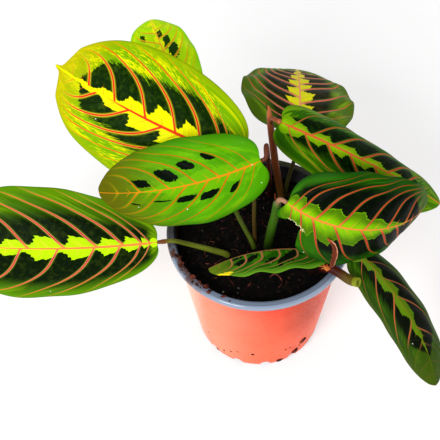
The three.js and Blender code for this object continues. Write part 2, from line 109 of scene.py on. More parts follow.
# ---- Each leaf ----
# The first lines are its shape: see blade_point. veins are where its side veins leave the midrib, as
# shares of it, for the left and the right half; lean and hook are how they slant and then bend to the tip.
LEAVES = {
    "left": dict(
        base=(-0.064, -0.02, 0.129), heading=188, sway=-18, pitch=6, droop=4, roll=-52, twist=0,
        length=0.131, half_width=0.038, fold=(-9, -5), curl=(-18, -14), rise=0.6, fall=0.39,
        veins=((0.034, 0.077, 0.173, 0.291, 0.459, 0.632, 0.78, 0.89),
               (0.03, 0.068, 0.155, 0.277, 0.427, 0.595, 0.75, 0.87)),
        lean=(0.55, 1.2), hook=(3, 5.8),
    ),
    "upper_left": dict(
        base=(-0.012, 0.002, 0.177), heading=160, sway=-18, pitch=13, droop=0, roll=-38, twist=-3,
        length=0.124, half_width=0.0405, fold=(-7, -4), curl=(-20, -12), rise=0.47, fall=0.49,
        tip_taper=0.7, point=0.8,
        veins=((0.04, 0.12, 0.24, 0.39, 0.57, 0.75, 0.88),
               (0.045, 0.09, 0.19, 0.32, 0.48, 0.65, 0.8, 0.9)),
        lean=(1.5, 0.9), hook=(25, 7),
    ),
    "middle": dict(
        base=(0, -0.0135, 0.1925), heading=194, sway=-36, pitch=-16, droop=0, roll=-50, twist=-16,
        length=0.1005, half_width=0.027, fold=(-6, -2), curl=(-15, -13), rise=0.48, fall=0.57,
        veins=((0.032, 0.09, 0.186, 0.31, 0.44, 0.59, 0.74, 0.87),
               (0.055, 0.136, 0.245, 0.38, 0.545, 0.727, 0.87)),
        lean=(1.35, 0.9), hook=(3.5, 5),
        spots=((0.19, 0.385, 0.026, 0.11), (0.335, 0.33, 0.054, 0.09), (0.47, 0.3, 0.064, 0.07),
               (0.62, 0.28, 0.07, 0.022), (0.78, 0.37, 0.04, 0.025), (0.28, -0.52, 0.032, 0.09),
               (0.42, -0.42, 0.044, 0.1), (0.55, -0.3, 0.054, 0.15), (0.72, -0.22, 0.056, 0.11)),
    ),
    "back_left": dict(
        base=(-0.042, 0.054, 0.167), heading=107, sway=-5, pitch=17, droop=33, roll=-5, twist=0,
        length=0.091, half_width=0.0225, fold=(-5, -9), curl=(-15, -20), rise=0.49, fall=0.42,
        veins=((0.04, 0.1, 0.2, 0.33, 0.48, 0.63, 0.77, 0.89),
               (0.06, 0.14, 0.26, 0.4, 0.55, 0.69, 0.82)),
        lean=(1.2, 1.2), hook=(4, 4),
        spots=((0.55, -0.32, 0.085, 0.16), (0.68, -0.24, 0.055, 0.12), (0.76, -0.09, 0.045, 0.1),
               (0.78, 0.5, 0.04, 0.09), (0.6, -0.13, 0.03, 0.06)),
    ),
    "back_right": dict(
        base=(0.0275, 0.029, 0.17), heading=83.5, sway=1.5, pitch=-8.5, droop=32.5, roll=7, twist=0,
        length=0.1135, half_width=0.0385, fold=(-1, -2), curl=(-8, -20), rise=0.45, fall=0.49,
        veins=((0.04, 0.1, 0.19, 0.31, 0.455, 0.58, 0.71, 0.84),
               (0.05, 0.12, 0.24, 0.41, 0.51, 0.64, 0.78, 0.89)),
        lean=(1.5, 1.3), hook=(8, 3),
    ),
    "right": dict(
        base=(0.014, 0.017, 0.19), heading=-18.5, sway=16, pitch=-19, droop=25, roll=37, twist=-11,
        length=0.1205, half_width=0.0305, fold=(-19, -31), curl=(-64, -46), rise=0.53, fall=0.58,
        veins=((0.05, 0.16, 0.28, 0.445, 0.61, 0.73, 0.85),
               (0.036, 0.127, 0.25, 0.38, 0.53, 0.68, 0.82)),
        lean=(1.3, 1.3), hook=(3, 15),
    ),
    "front_right": dict(
        base=(0.0135, -0.03, 0.174), heading=-35, sway=94, pitch=-20, droop=-3.5, roll=60, twist=30,
        length=0.1065, half_width=0.035, fold=(-3, -16), curl=(-13, -5), rise=0.46, fall=0.64,
        veins=((0.03, 0.076, 0.172, 0.305, 0.455, 0.6, 0.74, 0.87),
               (0.03, 0.086, 0.155, 0.28, 0.436, 0.56, 0.67, 0.8)),
        lean=(0.75, 1.1), hook=(7.5, 0.9), hook_power=6.5, torn=True,
    ),
    "folded": dict(
        base=(0.0395, -0.029, 0.12), heading=171, sway=23, pitch=14, droop=37, roll=24, twist=3,
        length=0.075, half_width=0.018, fold=(-11, -60), curl=(-10, -20), rise=0.47, fall=0.51,
        veins=((0.07, 0.16, 0.25, 0.4, 0.545, 0.68, 0.8, 0.91),
               (0.04, 0.13, 0.25, 0.37, 0.5, 0.63, 0.77, 0.89)),
        lean=(-0.18, 1.0), hook=(5, 3),
        spots=((0.3, 0.38, 0.068, 0.36), (0.47, 0.52, 0.04, 0.14), (0.63, 0.3, 0.045, 0.16),
               (0.72, 0.36, 0.045, 0.12), (0.75, 0.12, 0.05, 0.06), (0.3, -0.4, 0.08, 0.3),
               (0.55, -0.4, 0.08, 0.25)),
        pale_spots=((0.87, 0.92, 0.05, 0.13),),
    ),
    "trailing": dict(
        base=(0.059, -0.03, 0.1195), heading=-48, sway=-7.5, pitch=-12.5, droop=59, roll=9.5, twist=9,
        length=0.1075, half_width=0.0235, fold=(-25, -31), curl=(-44, -54), rise=0.46, fall=0.5,
        veins=((0.07, 0.2, 0.33, 0.545, 0.66, 0.79, 0.9),
               (0.03, 0.136, 0.3, 0.49, 0.64, 0.78, 0.89)),
        lean=(1.2, 1.6), hook=(3, 6),
    ),
}

# ---- Each leaf stalk: its way-points from the soil up, its radius at foot and top, and how far it is led
# in along the midrib. sheathed is how far up a sheath clasps it, and the sheath's radius there.
ROOT_LEVEL = 0.090
STALKS = {
    "left": dict(
        through=((-0.0215, -0.0135, 0.101), (-0.03, -0.0138, 0.1075), (-0.046, -0.0148, 0.118)),
        foot=0.0023, top=0.00115, joint=0.009,
    ),
    "upper_left": dict(
        through=((-0.0028, -0.0042, 0.102), (-0.0032, -0.0034, 0.125), (-0.003, -0.002, 0.155)),
        foot=0.0014, top=0.00115, joint=0.009,
    ),
    "middle": dict(
        through=((0.0097, 0.033, 0.101), (0.0084, 0.02, 0.134), (0.006, 0.006, 0.17),
                 (0.0042, -0.003, 0.192), (0.0034, -0.0075, 0.1975)),
        foot=0.0016, top=0.0012, joint=0.003,
    ),
    "back_left": dict(
        through=((-0.004, -0.0085, 0.102), (-0.0125, 0.0025, 0.119), (-0.027, 0.025, 0.146),
                 (-0.036, 0.038, 0.16)),
        foot=0.0017, top=0.0011, joint=0.008,
    ),
    "back_right": dict(
        through=((0.0203, 0.0325, 0.102), (0.0215, 0.031, 0.118), (0.0238, 0.027, 0.14),
                 (0.026, 0.0205, 0.161), (0.027, 0.023, 0.169)),
        foot=0.0015, top=0.0011, joint=0.003,
    ),
    "front_right": dict(
        through=((0.0054, -0.0096, 0.102), (0.0066, -0.0162, 0.131), (0.008, -0.0206, 0.15),
                 (0.0088, -0.026, 0.17), (0.0098, -0.0277, 0.1744)),
        foot=0.0031, top=0.0012, joint=0.0025, sheathed=(0.87, 0.0024),
    ),
}
STALK_JOINT_AT = 0.94
STALK_JOINT_LENGTH = 0.03
STALK_JOINT_SWELL = 0.25
SHEATH_MOUTH = 0.03  # share of a stalk over which it steps in from its sheath

# ---- The stout sheathed stalk, the creeping stem and its two stalks ----
SHEATH_THROUGH = ((0.0174, 0.028, 0.101), (0.0156, 0.0276, 0.118), (0.0124, 0.027, 0.143),
                  (0.0104, 0.0266, 0.163), (0.0088, 0.0264, 0.179), (0.0076, 0.0266, 0.194))
SHEATH_RADIUS = 0.0024
SHEATH_TAPER = 0.45
SHEATH_TIP_RADIUS = 0.0003
SHEATH_TIP_SHARE = 14  # the tip closes over one part in so many of the sheath
SHEATH_JOINT = dict(
    through=((0.0092, 0.026, 0.18), (0.0096, 0.0225, 0.1875)),
    foot=0.0012, top=0.00135, joint=0.002,
)
CREEPER_THROUGH = ((0.03, -0.0285, 0.09), (0.0305, -0.0288, 0.098), (0.035, -0.032, 0.107),
                   (0.0403, -0.0357, 0.1137), (0.046, -0.0402, 0.114), (0.0526, -0.0456, 0.113),
                   (0.0568, -0.049, 0.1154))
CREEPER_RADIUS = 0.0025
CREEPER_END_RADIUS = 0.0031
CREEPER_JOINT_AT = 0.52
CREEPER_JOINT_LENGTH = 0.06
CREEPER_JOINT_SWELL = 0.0007
CREEPER_HOLLOW_RADIUS = 0.0020
CREEPER_HOLLOW_DEPTH = 0.006
CREEPER_RING_HEIGHT = 0.0002
CREEPER_STALKS = {
    "folded": dict(
        through=((0.0403, -0.0357, 0.1137), (0.0446, -0.0335, 0.117), (0.0444, -0.0306, 0.119)),
        foot=0.0014, top=0.0011, joint=0.002,
    ),
    "trailing": dict(
        through=((0.0403, -0.0357, 0.1137), (0.046, -0.0325, 0.1185), (0.0515, -0.0266, 0.121)),
        foot=0.0015, top=0.0012, joint=0.005,
    ),
}
JOINT_KNOT_AT = (0.0395, -0.0378, 0.1158)
JOINT_KNOT_SIZE = (0.0021, 0.0015, 0.0014)
JOINT_TUFT_AT = (0.0398, -0.0362, 0.1152)
# Strands and papery tips: where each one's end is from the place it stands on.
JOINT_TUFT = ((-0.0062, -0.0004, 0.0016), (-0.005, 0.0012, 0.0026), (-0.0042, -0.002, 0.0008),
              (-0.0012, -0.004, 0.0008), (0.0012, -0.0036, 0.0024), (-0.001, -0.001, 0.0045))
FRONT_SHEATH_TIP_AT = (0.0083, -0.0236, 0.164)
FRONT_SHEATH_TIP = (-0.001, 0.0002, 0.0105)
BACK_SHEATH_TIP_AT = (0.0086, 0.0262, 0.184)
BACK_SHEATH_TIP = (-0.003, 0.001, 0.013)
TORN_CURLS = ((0.0012, -0.0012, 0.0016), (0.0022, -0.0008, 0.0004), (0.0004, -0.0016, -0.001),
              (0.0018, -0.0014, -0.0016), (-0.0008, -0.0012, 0.0012))
TORN_CORNER = (0.15, -0.42)  # along the midrib and across the blade

# ---- The dry sheath ----
DRY_HALF_WIDTH = 0.0016
DRY_CUP = 1.15
DRY_PALE_EDGE = 0.85  # from here across the strip, its edge is a pale strand
DRY_FACING = Vector((1, 0, 0))
DRY_ROWS = 44
DRY_THICKNESS = 0.0003
DRY_THROUGH = ((0.0402, -0.0382, 0.1171), (0.0407, -0.0428, 0.124), (0.0413, -0.0435, 0.1317),
               (0.0417, -0.0435, 0.139), (0.0404, -0.0432, 0.147), (0.0361, -0.0428, 0.155))

# ---- Bits of soil ----
CURLED_ROOT = ((0.0045, -0.0325, 0.1012), (0.0075, -0.0318, 0.1035), (0.0105, -0.0345, 0.104),
               (0.0118, -0.0385, 0.1028), (0.0095, -0.0405, 0.1015))
# Each mark of dried soil on the pot's wall: the degrees round from +X, its height and its size.
POT_DIRT = ((-52.2, 0.0228, 0.0024), (-53.5, 0.0208, 0.0013), (-59.6, 0.012, 0.0022),
            (-58.2, 0.0142, 0.0013), (-60.5, 0.0102, 0.001), (-75, 0.007, 0.0018), (-72, 0.0072, 0.0008),
            (-119.4, 0.0188, 0.0006), (-112.8, 0.0228, 0.0006), (-99.2, 0.0235, 0.001),
            (-127, 0.014, 0.0008), (-135.6, 0.007, 0.0009), (-142.2, 0.0282, 0.0006),
            (-70.2, 0.0238, 0.0007), (-66, 0.0242, 0.0005), (-81.8, 0.026, 0.0004),
            (-93.8, 0.011, 0.0005), (-63, 0.018, 0.0005), (-55, 0.0172, 0.0006))
CRUMBS = 420
GRIT = 16
FIBRES = 46
RIM_CRUMBS = 50
RIM_CRUMBS_BETWEEN = (-184, -108, -146)  # degrees round from +X: from, to and where most of them are


def mix(first, second, share):
    return first + (second - first) * share


def rgb(red, green, blue):
    """A colour given as it is seen, 0 to 255 a channel, as the linear values that a shader takes."""
    def linear(value):
        value /= 255
        return value / 12.92 if value <= 0.04045 else ((value + 0.055) / 1.055) ** 2.4
    return (linear(red), linear(green), linear(blue), 1)


# ---- Node trees ----
def sum_method(operation, swapped=False):
    """How a signal takes part in one kind of sum: as a math node, with the other value after it or before."""
    def method(signal, other):
        values = (other, signal) if swapped else (signal, other)
        return signal.wiring.math(operation, *values)
    return method


class Signal:
    """One output of a node. Sums made with it add math nodes to its tree."""

    def __init__(self, wiring, socket):
        self.wiring = wiring
        self.socket = socket

    __add__ = sum_method("ADD")
    __radd__ = sum_method("ADD", swapped=True)
    __sub__ = sum_method("SUBTRACT")
    __rsub__ = sum_method("SUBTRACT", swapped=True)
    __mul__ = sum_method("MULTIPLY")
    __rmul__ = sum_method("MULTIPLY", swapped=True)
    __truediv__ = sum_method("DIVIDE")

    def __abs__(self):
        return self.wiring.math("ABSOLUTE", self)


class Wiring:
    """Adds nodes to one tree, each with its inputs linked or set."""

    def __init__(self, tree):
        self.tree = tree

    def node(self, kind, inputs=(), **settings):
        node = self.tree.nodes.new(kind)
        for name, value in settings.items():
            setattr(node, name, value)
        self.feed(node, inputs)
        return node

    def feed(self, node, inputs):
        for name, value in dict(inputs).items():
            if isinstance(value, Signal):
                self.tree.links.new(value.socket, node.inputs[name])
            else:
                node.inputs[name].default_value = value

    def signal(self, kind, inputs=(), output=0, **settings):
        return Signal(self, self.node(kind, inputs, **settings).outputs[output])

    def signals(self, node):
        """A node's outputs by name."""
        return {socket.name: Signal(self, socket) for socket in node.outputs}

    def math(self, operation, *values):
        return self.signal("ShaderNodeMath", enumerate(values), operation=operation)

    def smooth(self, value, low, high, result_low=0.0, result_high=1.0):
        """Eases from one result to the other while the value goes from low to high."""
        inputs = {
            "Value": value, "From Min": low, "From Max": high, "To Min": result_low, "To Max": result_high,
        }
        return self.signal("ShaderNodeMapRange", inputs, interpolation_type="SMOOTHSTEP")

    def painted(self, colour, *coats):
        """A colour with others laid over it in turn, each as strongly as its mask says."""
        for coat, mask in coats:
            colour = self.signal("ShaderNodeMix", {0: mask, 6: colour, 7: coat}, output=2, data_type="RGBA")
        return colour

    def vector(self, x=0.0, y=0.0, z=0.0):
        return self.signal("ShaderNodeCombineXYZ", {"X": x, "Y": y, "Z": z})

    def split(self, vector):
        return self.signals(self.node("ShaderNodeSeparateXYZ", {"Vector": vector})).values()

    def noise(self, vector, scale=1.0, detail=2.0, roughness=0.5):
        inputs = {"Vector": vector, "Scale": scale, "Detail": detail, "Roughness": roughness}
        return self.signal("ShaderNodeTexNoise", inputs)

    def bump(self, height, strength, distance):
        return self.signal("ShaderNodeBump", {"Height": height, "Strength": strength, "Distance": distance})

    def place(self):
        return self.signal("ShaderNodeTexCoord", output="Object")

    def on_map(self, name):
        """Where a place is on one of the piece's own maps: across and along."""
        across, along, _ = self.split(self.signal("ShaderNodeUVMap", uv_map=name))
        return across, along

    def attribute(self, name):
        return self.signal("ShaderNodeAttribute", output="Fac", attribute_name=name)


class Finish(Wiring):
    """The wiring of a new material."""

    def __init__(self, name):
        self.material = bpy.data.materials.new(name)
        self.material.use_nodes = True
        super().__init__(self.material.node_tree)

    def done(self, **inputs):
        """The material, once its surface shader's inputs are linked or set."""
        shader = self.tree.nodes["Principled BSDF"]
        for name, value in inputs.items():
            self.feed(shader, {name.replace("_", " ").title().replace("Ior", "IOR"): value})
        return self.material


def new_group(name, inputs, outputs):
    """A node group with named sockets, its wiring and the signals that it is given."""
    group = bpy.data.node_groups.new(name, "ShaderNodeTree")
    for socket_name, value in inputs.items():
        kind = "NodeSocketColor" if isinstance(value, tuple) else "NodeSocketFloat"
        group.interface.new_socket(socket_name, in_out="INPUT", socket_type=kind).default_value = value
    for socket_name, kind in outputs.items():
        group.interface.new_socket(socket_name, in_out="OUTPUT", socket_type=kind)
    wiring = Wiring(group)
    return group, wiring, wiring.signals(wiring.node("NodeGroupInput"))


# ---- Leaf colours ----
LEAF_COLOURS = {
    "Band": (182, 236, 6), "Field": (48, 112, 0), "Streak": (112, 168, 4), "Margin": (92, 156, 4),
    "Blotch": (2, 16, 0), "Bronze": (16, 42, 0), "Spot": (2, 18, 0), "Pale Spot": (250, 220, 30),
    "Vein": (186, 44, 58), "Flank": (230, 154, 92), "Vein End": (206, 112, 48), "Rib": (230, 140, 66),
    "Tip": (96, 140, 10),
}
LEAF_NUMBERS = {
    "Band Width": 0.23, "Right Band": 1.0, "Band Fade": 0.6, "Band End": 1.0, "Lobe Depth": 1.0,
    "Base Light": 0.8, "Base Length": 0.07, "Band Shade": 0.0, "Band Outline": 0.0, "Left Reach": 0.74,
    "Right Reach": 0.6, "Right From": 0.0, "Blotch Softness": 0.1, "Blotch End": 0.95, "Patchiness": 0.42,
    "Spot Jag": 1.3, "Patch Softness": 0.06, "Mosaic": 0.0, "Vein Width": 0.72, "Rib Width": 0.7,
    "Rib End": 0.35, "Rib Fade": 0.0, "Veins End": 0.94, "Tip Share": 0.3, "Tip From": 0.72,
}

# What sets each leaf's colouring apart from the common one.
LEAF_LOOKS = {
    "left": {
        "Field": (58, 100, 0), "Streak": (102, 144, 2), "Margin": (82, 130, 0), "Bronze": (26, 40, 2),
        "Rib": (232, 128, 60),
        "Base Light": 0.3, "Base Length": 0.05, "Blotch Softness": 0.14, "Vein Width": 0.68,
        "Rib Width": 0.8,
    },
    "upper_left": {
        "Band": (236, 236, 0), "Field": (110, 164, 0), "Streak": (214, 218, 0), "Margin": (136, 166, 0),
        "Blotch": (4, 28, 0), "Bronze": (34, 60, 2), "Vein": (212, 14, 10), "Flank": (238, 180, 70),
        "Vein End": (210, 96, 10), "Rib": (220, 56, 14), "Tip": (182, 170, 0),
        "Band Width": 0.25, "Band Fade": 0.88, "Left Reach": 0.5, "Blotch Softness": 0.03,
        "Patchiness": 0.44, "Mosaic": 1.0, "Vein Width": 0.7, "Rib Width": 1.0, "Rib Fade": 1.0,
        "Tip Share": 0.8,
    },
    "middle": {
        "Band": (94, 160, 0), "Field": (66, 138, 0), "Streak": (98, 164, 0), "Margin": (52, 114, 0),
        "Spot": (0, 8, 0), "Vein": (168, 88, 6), "Flank": (140, 134, 4), "Vein End": (146, 90, 6),
        "Rib": (206, 124, 14), "Tip": (84, 84, 2),
        "Band Fade": 1.0, "Band End": 0.8, "Lobe Depth": 0.35, "Base Light": 0.0, "Left Reach": 0.0,
        "Right Reach": 0.0, "Spot Jag": 0.7, "Patch Softness": 0.16, "Mosaic": 0.4, "Vein Width": 0.56,
        "Rib Width": 0.6, "Tip Share": 1.0, "Tip From": 0.42,
    },
    "back_left": {
        "Band": (246, 254, 0), "Field": (176, 232, 0), "Streak": (236, 250, 0), "Margin": (140, 216, 0),
        "Spot": (24, 62, 0), "Vein": (240, 130, 24), "Flank": (236, 190, 20), "Vein End": (220, 180, 10),
        "Rib": (240, 180, 40), "Tip": (140, 200, 0),
        "Base Light": 0.0, "Left Reach": 0.0, "Right Reach": 0.0, "Mosaic": 0.5, "Vein Width": 0.5,
    },
    "back_right": {
        "Band": (232, 228, 10), "Field": (70, 106, 0), "Streak": (120, 156, 12), "Margin": (78, 108, 4),
        "Blotch": (18, 24, 0), "Bronze": (48, 40, 8), "Vein": (216, 76, 76), "Flank": (238, 140, 116),
        "Vein End": (206, 80, 50), "Rib": (240, 150, 104),
        "Band Width": 0.26, "Band Fade": 0.78, "Base Light": 0.5, "Left Reach": 0.62, "Vein Width": 0.8,
        "Tip Share": 0.0,
    },
    "right": {
        "Band": (134, 184, 4), "Field": (38, 90, 0), "Streak": (102, 150, 6), "Margin": (86, 134, 6),
        "Vein": (176, 60, 40), "Flank": (176, 96, 40), "Rib": (196, 90, 40),
        "Band Width": 0.165, "Base Light": 0.4, "Base Length": 0.15, "Band Shade": 0.4,
        "Band Outline": 0.4, "Left Reach": 0.48, "Right Reach": 0.4, "Patchiness": 0.44,
        "Vein Width": 0.58,
    },
    "front_right": {
        "Band": (128, 188, 0), "Field": (10, 50, 0), "Streak": (42, 100, 0), "Margin": (18, 66, 2),
        "Blotch": (0, 5, 0), "Bronze": (6, 18, 0), "Vein": (168, 44, 34), "Flank": (200, 96, 54),
        "Vein End": (140, 52, 20), "Rib": (226, 120, 50),
        "Band Width": 0.35, "Right Band": 1.4, "Band Fade": 1.0, "Band End": 0.82, "Lobe Depth": 0.5,
        "Base Light": 0.25, "Base Length": 0.12, "Band Shade": 0.72, "Band Outline": 0.6,
        "Left Reach": 0.72, "Right Reach": 0.74, "Right From": 3.0, "Vein Width": 0.6,
    },
    "folded": {
        "Band": (66, 116, 6), "Field": (26, 80, 2), "Streak": (60, 112, 6), "Margin": (88, 140, 28),
        "Blotch": (4, 20, 2), "Bronze": (46, 44, 26), "Spot": (6, 14, 4), "Vein": (170, 84, 60),
        "Flank": (190, 128, 80), "Vein End": (120, 150, 50), "Rib": (180, 104, 76), "Tip": (92, 116, 20),
        "Band Width": 0.1, "Base Light": 0.0, "Left Reach": 0.0, "Right Reach": 0.0, "Vein Width": 0.5,
        "Tip Share": 1.0, "Tip From": 0.7,
    },
    "trailing": {
        "Band": (78, 114, 6), "Field": (30, 62, 0), "Streak": (50, 86, 2), "Margin": (58, 82, 4),
        "Blotch": (2, 6, 0), "Bronze": (14, 16, 2), "Vein": (168, 60, 46), "Flank": (156, 108, 56),
        "Vein End": (112, 92, 36), "Rib": (104, 102, 14), "Tip": (58, 78, 4),
        "Band Width": 0.21, "Band Fade": 1.0, "Band End": 0.78, "Left Reach": 0.6, "Right Reach": 0.4,
        "Blotch End": 0.84, "Vein Width": 0.4, "Rib Width": 0.42, "Rib End": 0.02, "Veins End": 0.72,
        "Tip Share": 0.8, "Tip From": 0.55,
    },
}

# The outline of one lobe of the light band, from one side vein to the next: where it is between them, and
# how far out it reaches.
LOBE = ((0, 0.76), (0.05, 0.68), (0.11, 0.76), (0.2, 0.84), (0.27, 0.8), (0.36, 0.92), (0.46, 1.0),
        (0.49, 0.8), (0.56, 0.7), (0.61, 0.68), (0.64, 0.5), (0.72, 0.42), (0.78, 0.4), (0.81, 0.29),
        (0.9, 0.26), (0.95, 0.4), (1, 0.8))
HALVES_APART = 37  # keeps the chances of the left half's gaps apart from those of the right half's


def leaf_look(seed=0, **changes):
    """The values that the leaf pattern takes, its colours as a shader takes them."""
    look = {**LEAF_COLOURS, **LEAF_NUMBERS, "Seed": float(seed), **changes}
    return {name: rgb(*value) if isinstance(value, tuple) else value for name, value in look.items()}


def vein_net(w):
    """Where a place lies on a blade: across it, how far out, past which vein, how far on to the next one,
    and how many millimetres from the nearest."""
    across_map, number_map = w.on_map("veins")
    across = across_map * 2 - 1
    number = number_map * VEIN_SLOTS
    between = w.math("FRACT", number)
    apart = w.math("MINIMUM", between, 1 - between) * w.attribute("vein_gap")
    return across, abs(across), number, between, apart


def band_lobe(w, between):
    """How far out the light band reaches, from one side vein to the next."""
    node = w.node("ShaderNodeFloatCurve", {"Value": between})
    curve = node.mapping.curves[0]
    curve.points[0].location = LOBE[0]
    curve.points[1].location = LOBE[-1]
    for x, y in LOBE[1:-1]:
        curve.points.new(x, y).handle_type = "VECTOR"
    node.mapping.update()
    return Signal(w, node.outputs[0])


def leaf_pattern_group():
    """The herringbone of a prayer plant's leaf: a feathered light band along the midrib, a dark blotch
    between each two side veins, a streaked or patched green field, and coloured veins."""
    outputs = {"Color": "NodeSocketColor", "Roughness": "NodeSocketFloat", "Height": "NodeSocketFloat"}
    group, w, given = new_group("Prayer leaf pattern", leaf_look(), outputs)
    across, out, number, between, apart = vein_net(w)
    along = w.on_map("blade")[1]
    place = w.place()
    left = w.math("GREATER_THAN", across, 0.0)
    gap_number = w.math("FLOOR", number) + left * HALVES_APART
    chance = w.signal("ShaderNodeTexWhiteNoise", {"W": gap_number + given["Seed"]}, noise_dimensions="1D")
    own_noise = left * 9 + given["Seed"]

    def drawn_out(per_vein, per_half, detail=2.0, roughness=0.5):
        """Noise laid along the side veins, with so many cells from vein to vein and from rib to margin."""
        return w.noise(w.vector(number * per_vein, out * per_half, own_noise), 1.0, detail, roughness)

    # Edges wander a little; streaks run along the side veins.
    jag = w.noise(place, 480.0, 1.6, 0.5) - 0.5
    streak = drawn_out(15, 1.6, 2.0, 0.6)
    fine = drawn_out(60, 9, 1.0)
    mosaic = drawn_out(11, 26, 2.0, 0.6)
    slow = drawn_out(1.3, 4, 1.0)

    # The light band: one lobe for each gap between veins, which ends in a point before the next vein.
    lobed = 1 - (1 - band_lobe(w, between + jag * 0.05)) * given["Lobe Depth"]
    band_width = given["Band Width"] * mix(given["Right Band"], 1, left)
    band_width *= w.smooth(along, 0.35, given["Band End"], 1.0, 1 - given["Band Fade"])
    edge = band_width * (0.86 + 0.3 * chance) * lobed + jag * given["Band Width"] * 0.16
    edge += w.smooth(along, 0.0, given["Base Length"], given["Base Light"], 0.0)
    band = w.smooth(edge - out, -0.008, 0.008)

    # The dark blotch, from the band's edge outwards.
    reach = mix(given["Right Reach"], given["Left Reach"], left)
    has_blotches = w.smooth(reach, 0.05, 0.1)
    reach = reach * (1.1 - 0.2 * chance) - w.smooth(along, given["Blotch End"] - 0.19, given["Blotch End"])
    reach += (streak - 0.5) * 0.34 + (mosaic - 0.5) * given["Mosaic"] * 0.25
    softness = given["Blotch Softness"]
    past_first = w.smooth(number - given["Right From"] * (1 - left), -0.1, 0.1)
    blotch = w.smooth(out - reach, softness * -1, softness, 1.0, 0.0)
    blotch *= has_blotches * w.smooth(along, 0.02, 0.06) * past_first

    # Spots placed one by one on some leaves.
    spot, pale_spot = (
        w.smooth(w.attribute(kind) + jag * given["Spot Jag"], -0.03, 0.05) for kind in ("spot", "pale_spot")
    )

    blur = given["Patch Softness"]
    patch = mix(streak, mosaic, given["Mosaic"]) + (slow - 0.5) * 0.8 + given["Patchiness"]
    field = w.painted(
        given["Field"],
        (given["Streak"], w.smooth(patch, 1 - blur, 1 + blur)),
        (given["Streak"], w.smooth(past_first, 0.0, 1.0, 0.7, 0.0)),
        (given["Margin"], w.smooth(out, 0.78, 1.0)),
        (given["Tip"], w.smooth(along, given["Tip From"], 0.98) * given["Tip Share"]),
    )
    dark = w.painted(
        given["Blotch"],
        (given["Bronze"], w.smooth(w.noise(place, 260.0, 3.0, 0.6), 0.45, 0.7)),
        (given["Field"], w.smooth(fine, 0.45, 0.8, 0.0, 0.1)),
    )
    outer = w.math("MAXIMUM", w.smooth(out / edge, 0.05, 0.85), w.smooth(along, 0.35, 0.8, 0.0, 0.8))
    light = w.painted(
        given["Band"],
        (given["Field"], w.smooth(drawn_out(24, 3), 0.35, 0.75, 0.0, 0.3)),
        (given["Field"], given["Band Shade"] * outer),
        (given["Band"], w.smooth(abs(edge - out), 0.006, 0.02, given["Band Outline"], 0.0)),
    )

    # Veins and midrib have their real widths, in millimetres, at any place on the blade.
    width = given["Vein Width"] * w.smooth(out, 0.3, 1.0, 1.0, 0.45) * w.smooth(number, 0.8, 3.0, 0.5, 1.0)
    last = given["Veins End"]
    shown = w.smooth(number, 0.6, 0.7) * w.smooth(out, 0.82, 1.0, 1.0, 0.2)
    shown *= w.smooth(along, last - 0.14, last, 1.0, 0.08)
    vein = shown * w.smooth(apart, width * 0.75, width * 1.2, 1.0, 0.0)
    core = w.math("MAXIMUM", w.smooth(apart, width * 0.4, width * 0.95, 1.0, 0.0), w.smooth(out, 0.45, 0.8))
    halo = shown * w.smooth(apart, width, width * 2.6, 0.4, 0.0)
    rib_width = given["Rib Width"] * w.smooth(along, 0.1, 1.0, 1.0, given["Rib End"])
    rib_width *= w.smooth(along, 0.0, 0.08, 0.3, 1.0)
    rib = w.smooth(w.attribute("rib_distance"), rib_width * 0.6, rib_width * 1.2, 1.0, 0.0)
    core_colour = w.painted(given["Vein"], (given["Vein End"], w.smooth(out, 0.45, 0.95)))
    vein_colour = w.painted(
        given["Flank"],
        (core_colour, core),
        (given["Rib"], w.smooth(out, 0.02, 0.16, 0.75, 0.0)),
    )
    rib_colour = w.painted(given["Rib"], (given["Band"], given["Rib Fade"] * w.smooth(along, 0.58, 0.76)))
    branch = w.smooth(abs(between - 0.42) * w.attribute("vein_gap"), 0.12, 0.4, 0.55, 0.0)
    branch *= w.smooth(out, 0.06, 0.17, 1.0, 0.0) * shown

    # A frayed edge where the blade is torn, and a few scattered pale specks.
    frayed = w.smooth(w.attribute("torn_edge") + jag * 0.8, 0.45, 0.7, 0.0, 0.9)
    grains = w.signals(w.node("ShaderNodeTexVoronoi", {"Vector": place, "Scale": 210.0}))
    pick, _, _ = w.split(grains["Color"])
    speck = w.smooth(grains["Distance"], 0.05, 0.11, 0.8, 0.0) * w.math("GREATER_THAN", pick, 0.94)

    colour = w.painted(
        field,
        (dark, blotch),
        (light, band),
        (given["Spot"], spot),
        (given["Pale Spot"], pale_spot),
        (given["Streak"], halo),
        (given["Rib"], branch),
        (vein_colour, vein),
        (rib_colour, rib),
        (rgb(240, 232, 170), frayed),
        (rgb(226, 232, 206), speck),
    )
    height = w.math("MAXIMUM", vein, rib) + fine * 0.25
    w.node("NodeGroupOutput", {"Color": colour, "Roughness": streak * 0.16 + 0.4, "Height": height})
    return group


LEAF_PATTERN = leaf_pattern_group()


def leaf_material(name, seed):
    w = Finish("leaf " + name.replace("_", " ") + " face")
    look = leaf_look(seed, **LEAF_LOOKS[name])
    pattern = w.signals(w.node("ShaderNodeGroup", look, node_tree=LEAF_PATTERN))
    normal = w.bump(pattern["Height"], 0.35, 0.0003)
    return w.done(
        base_color=pattern["Color"], roughness=pattern["Roughness"], normal=normal, specular_ior_level=0.03
    )


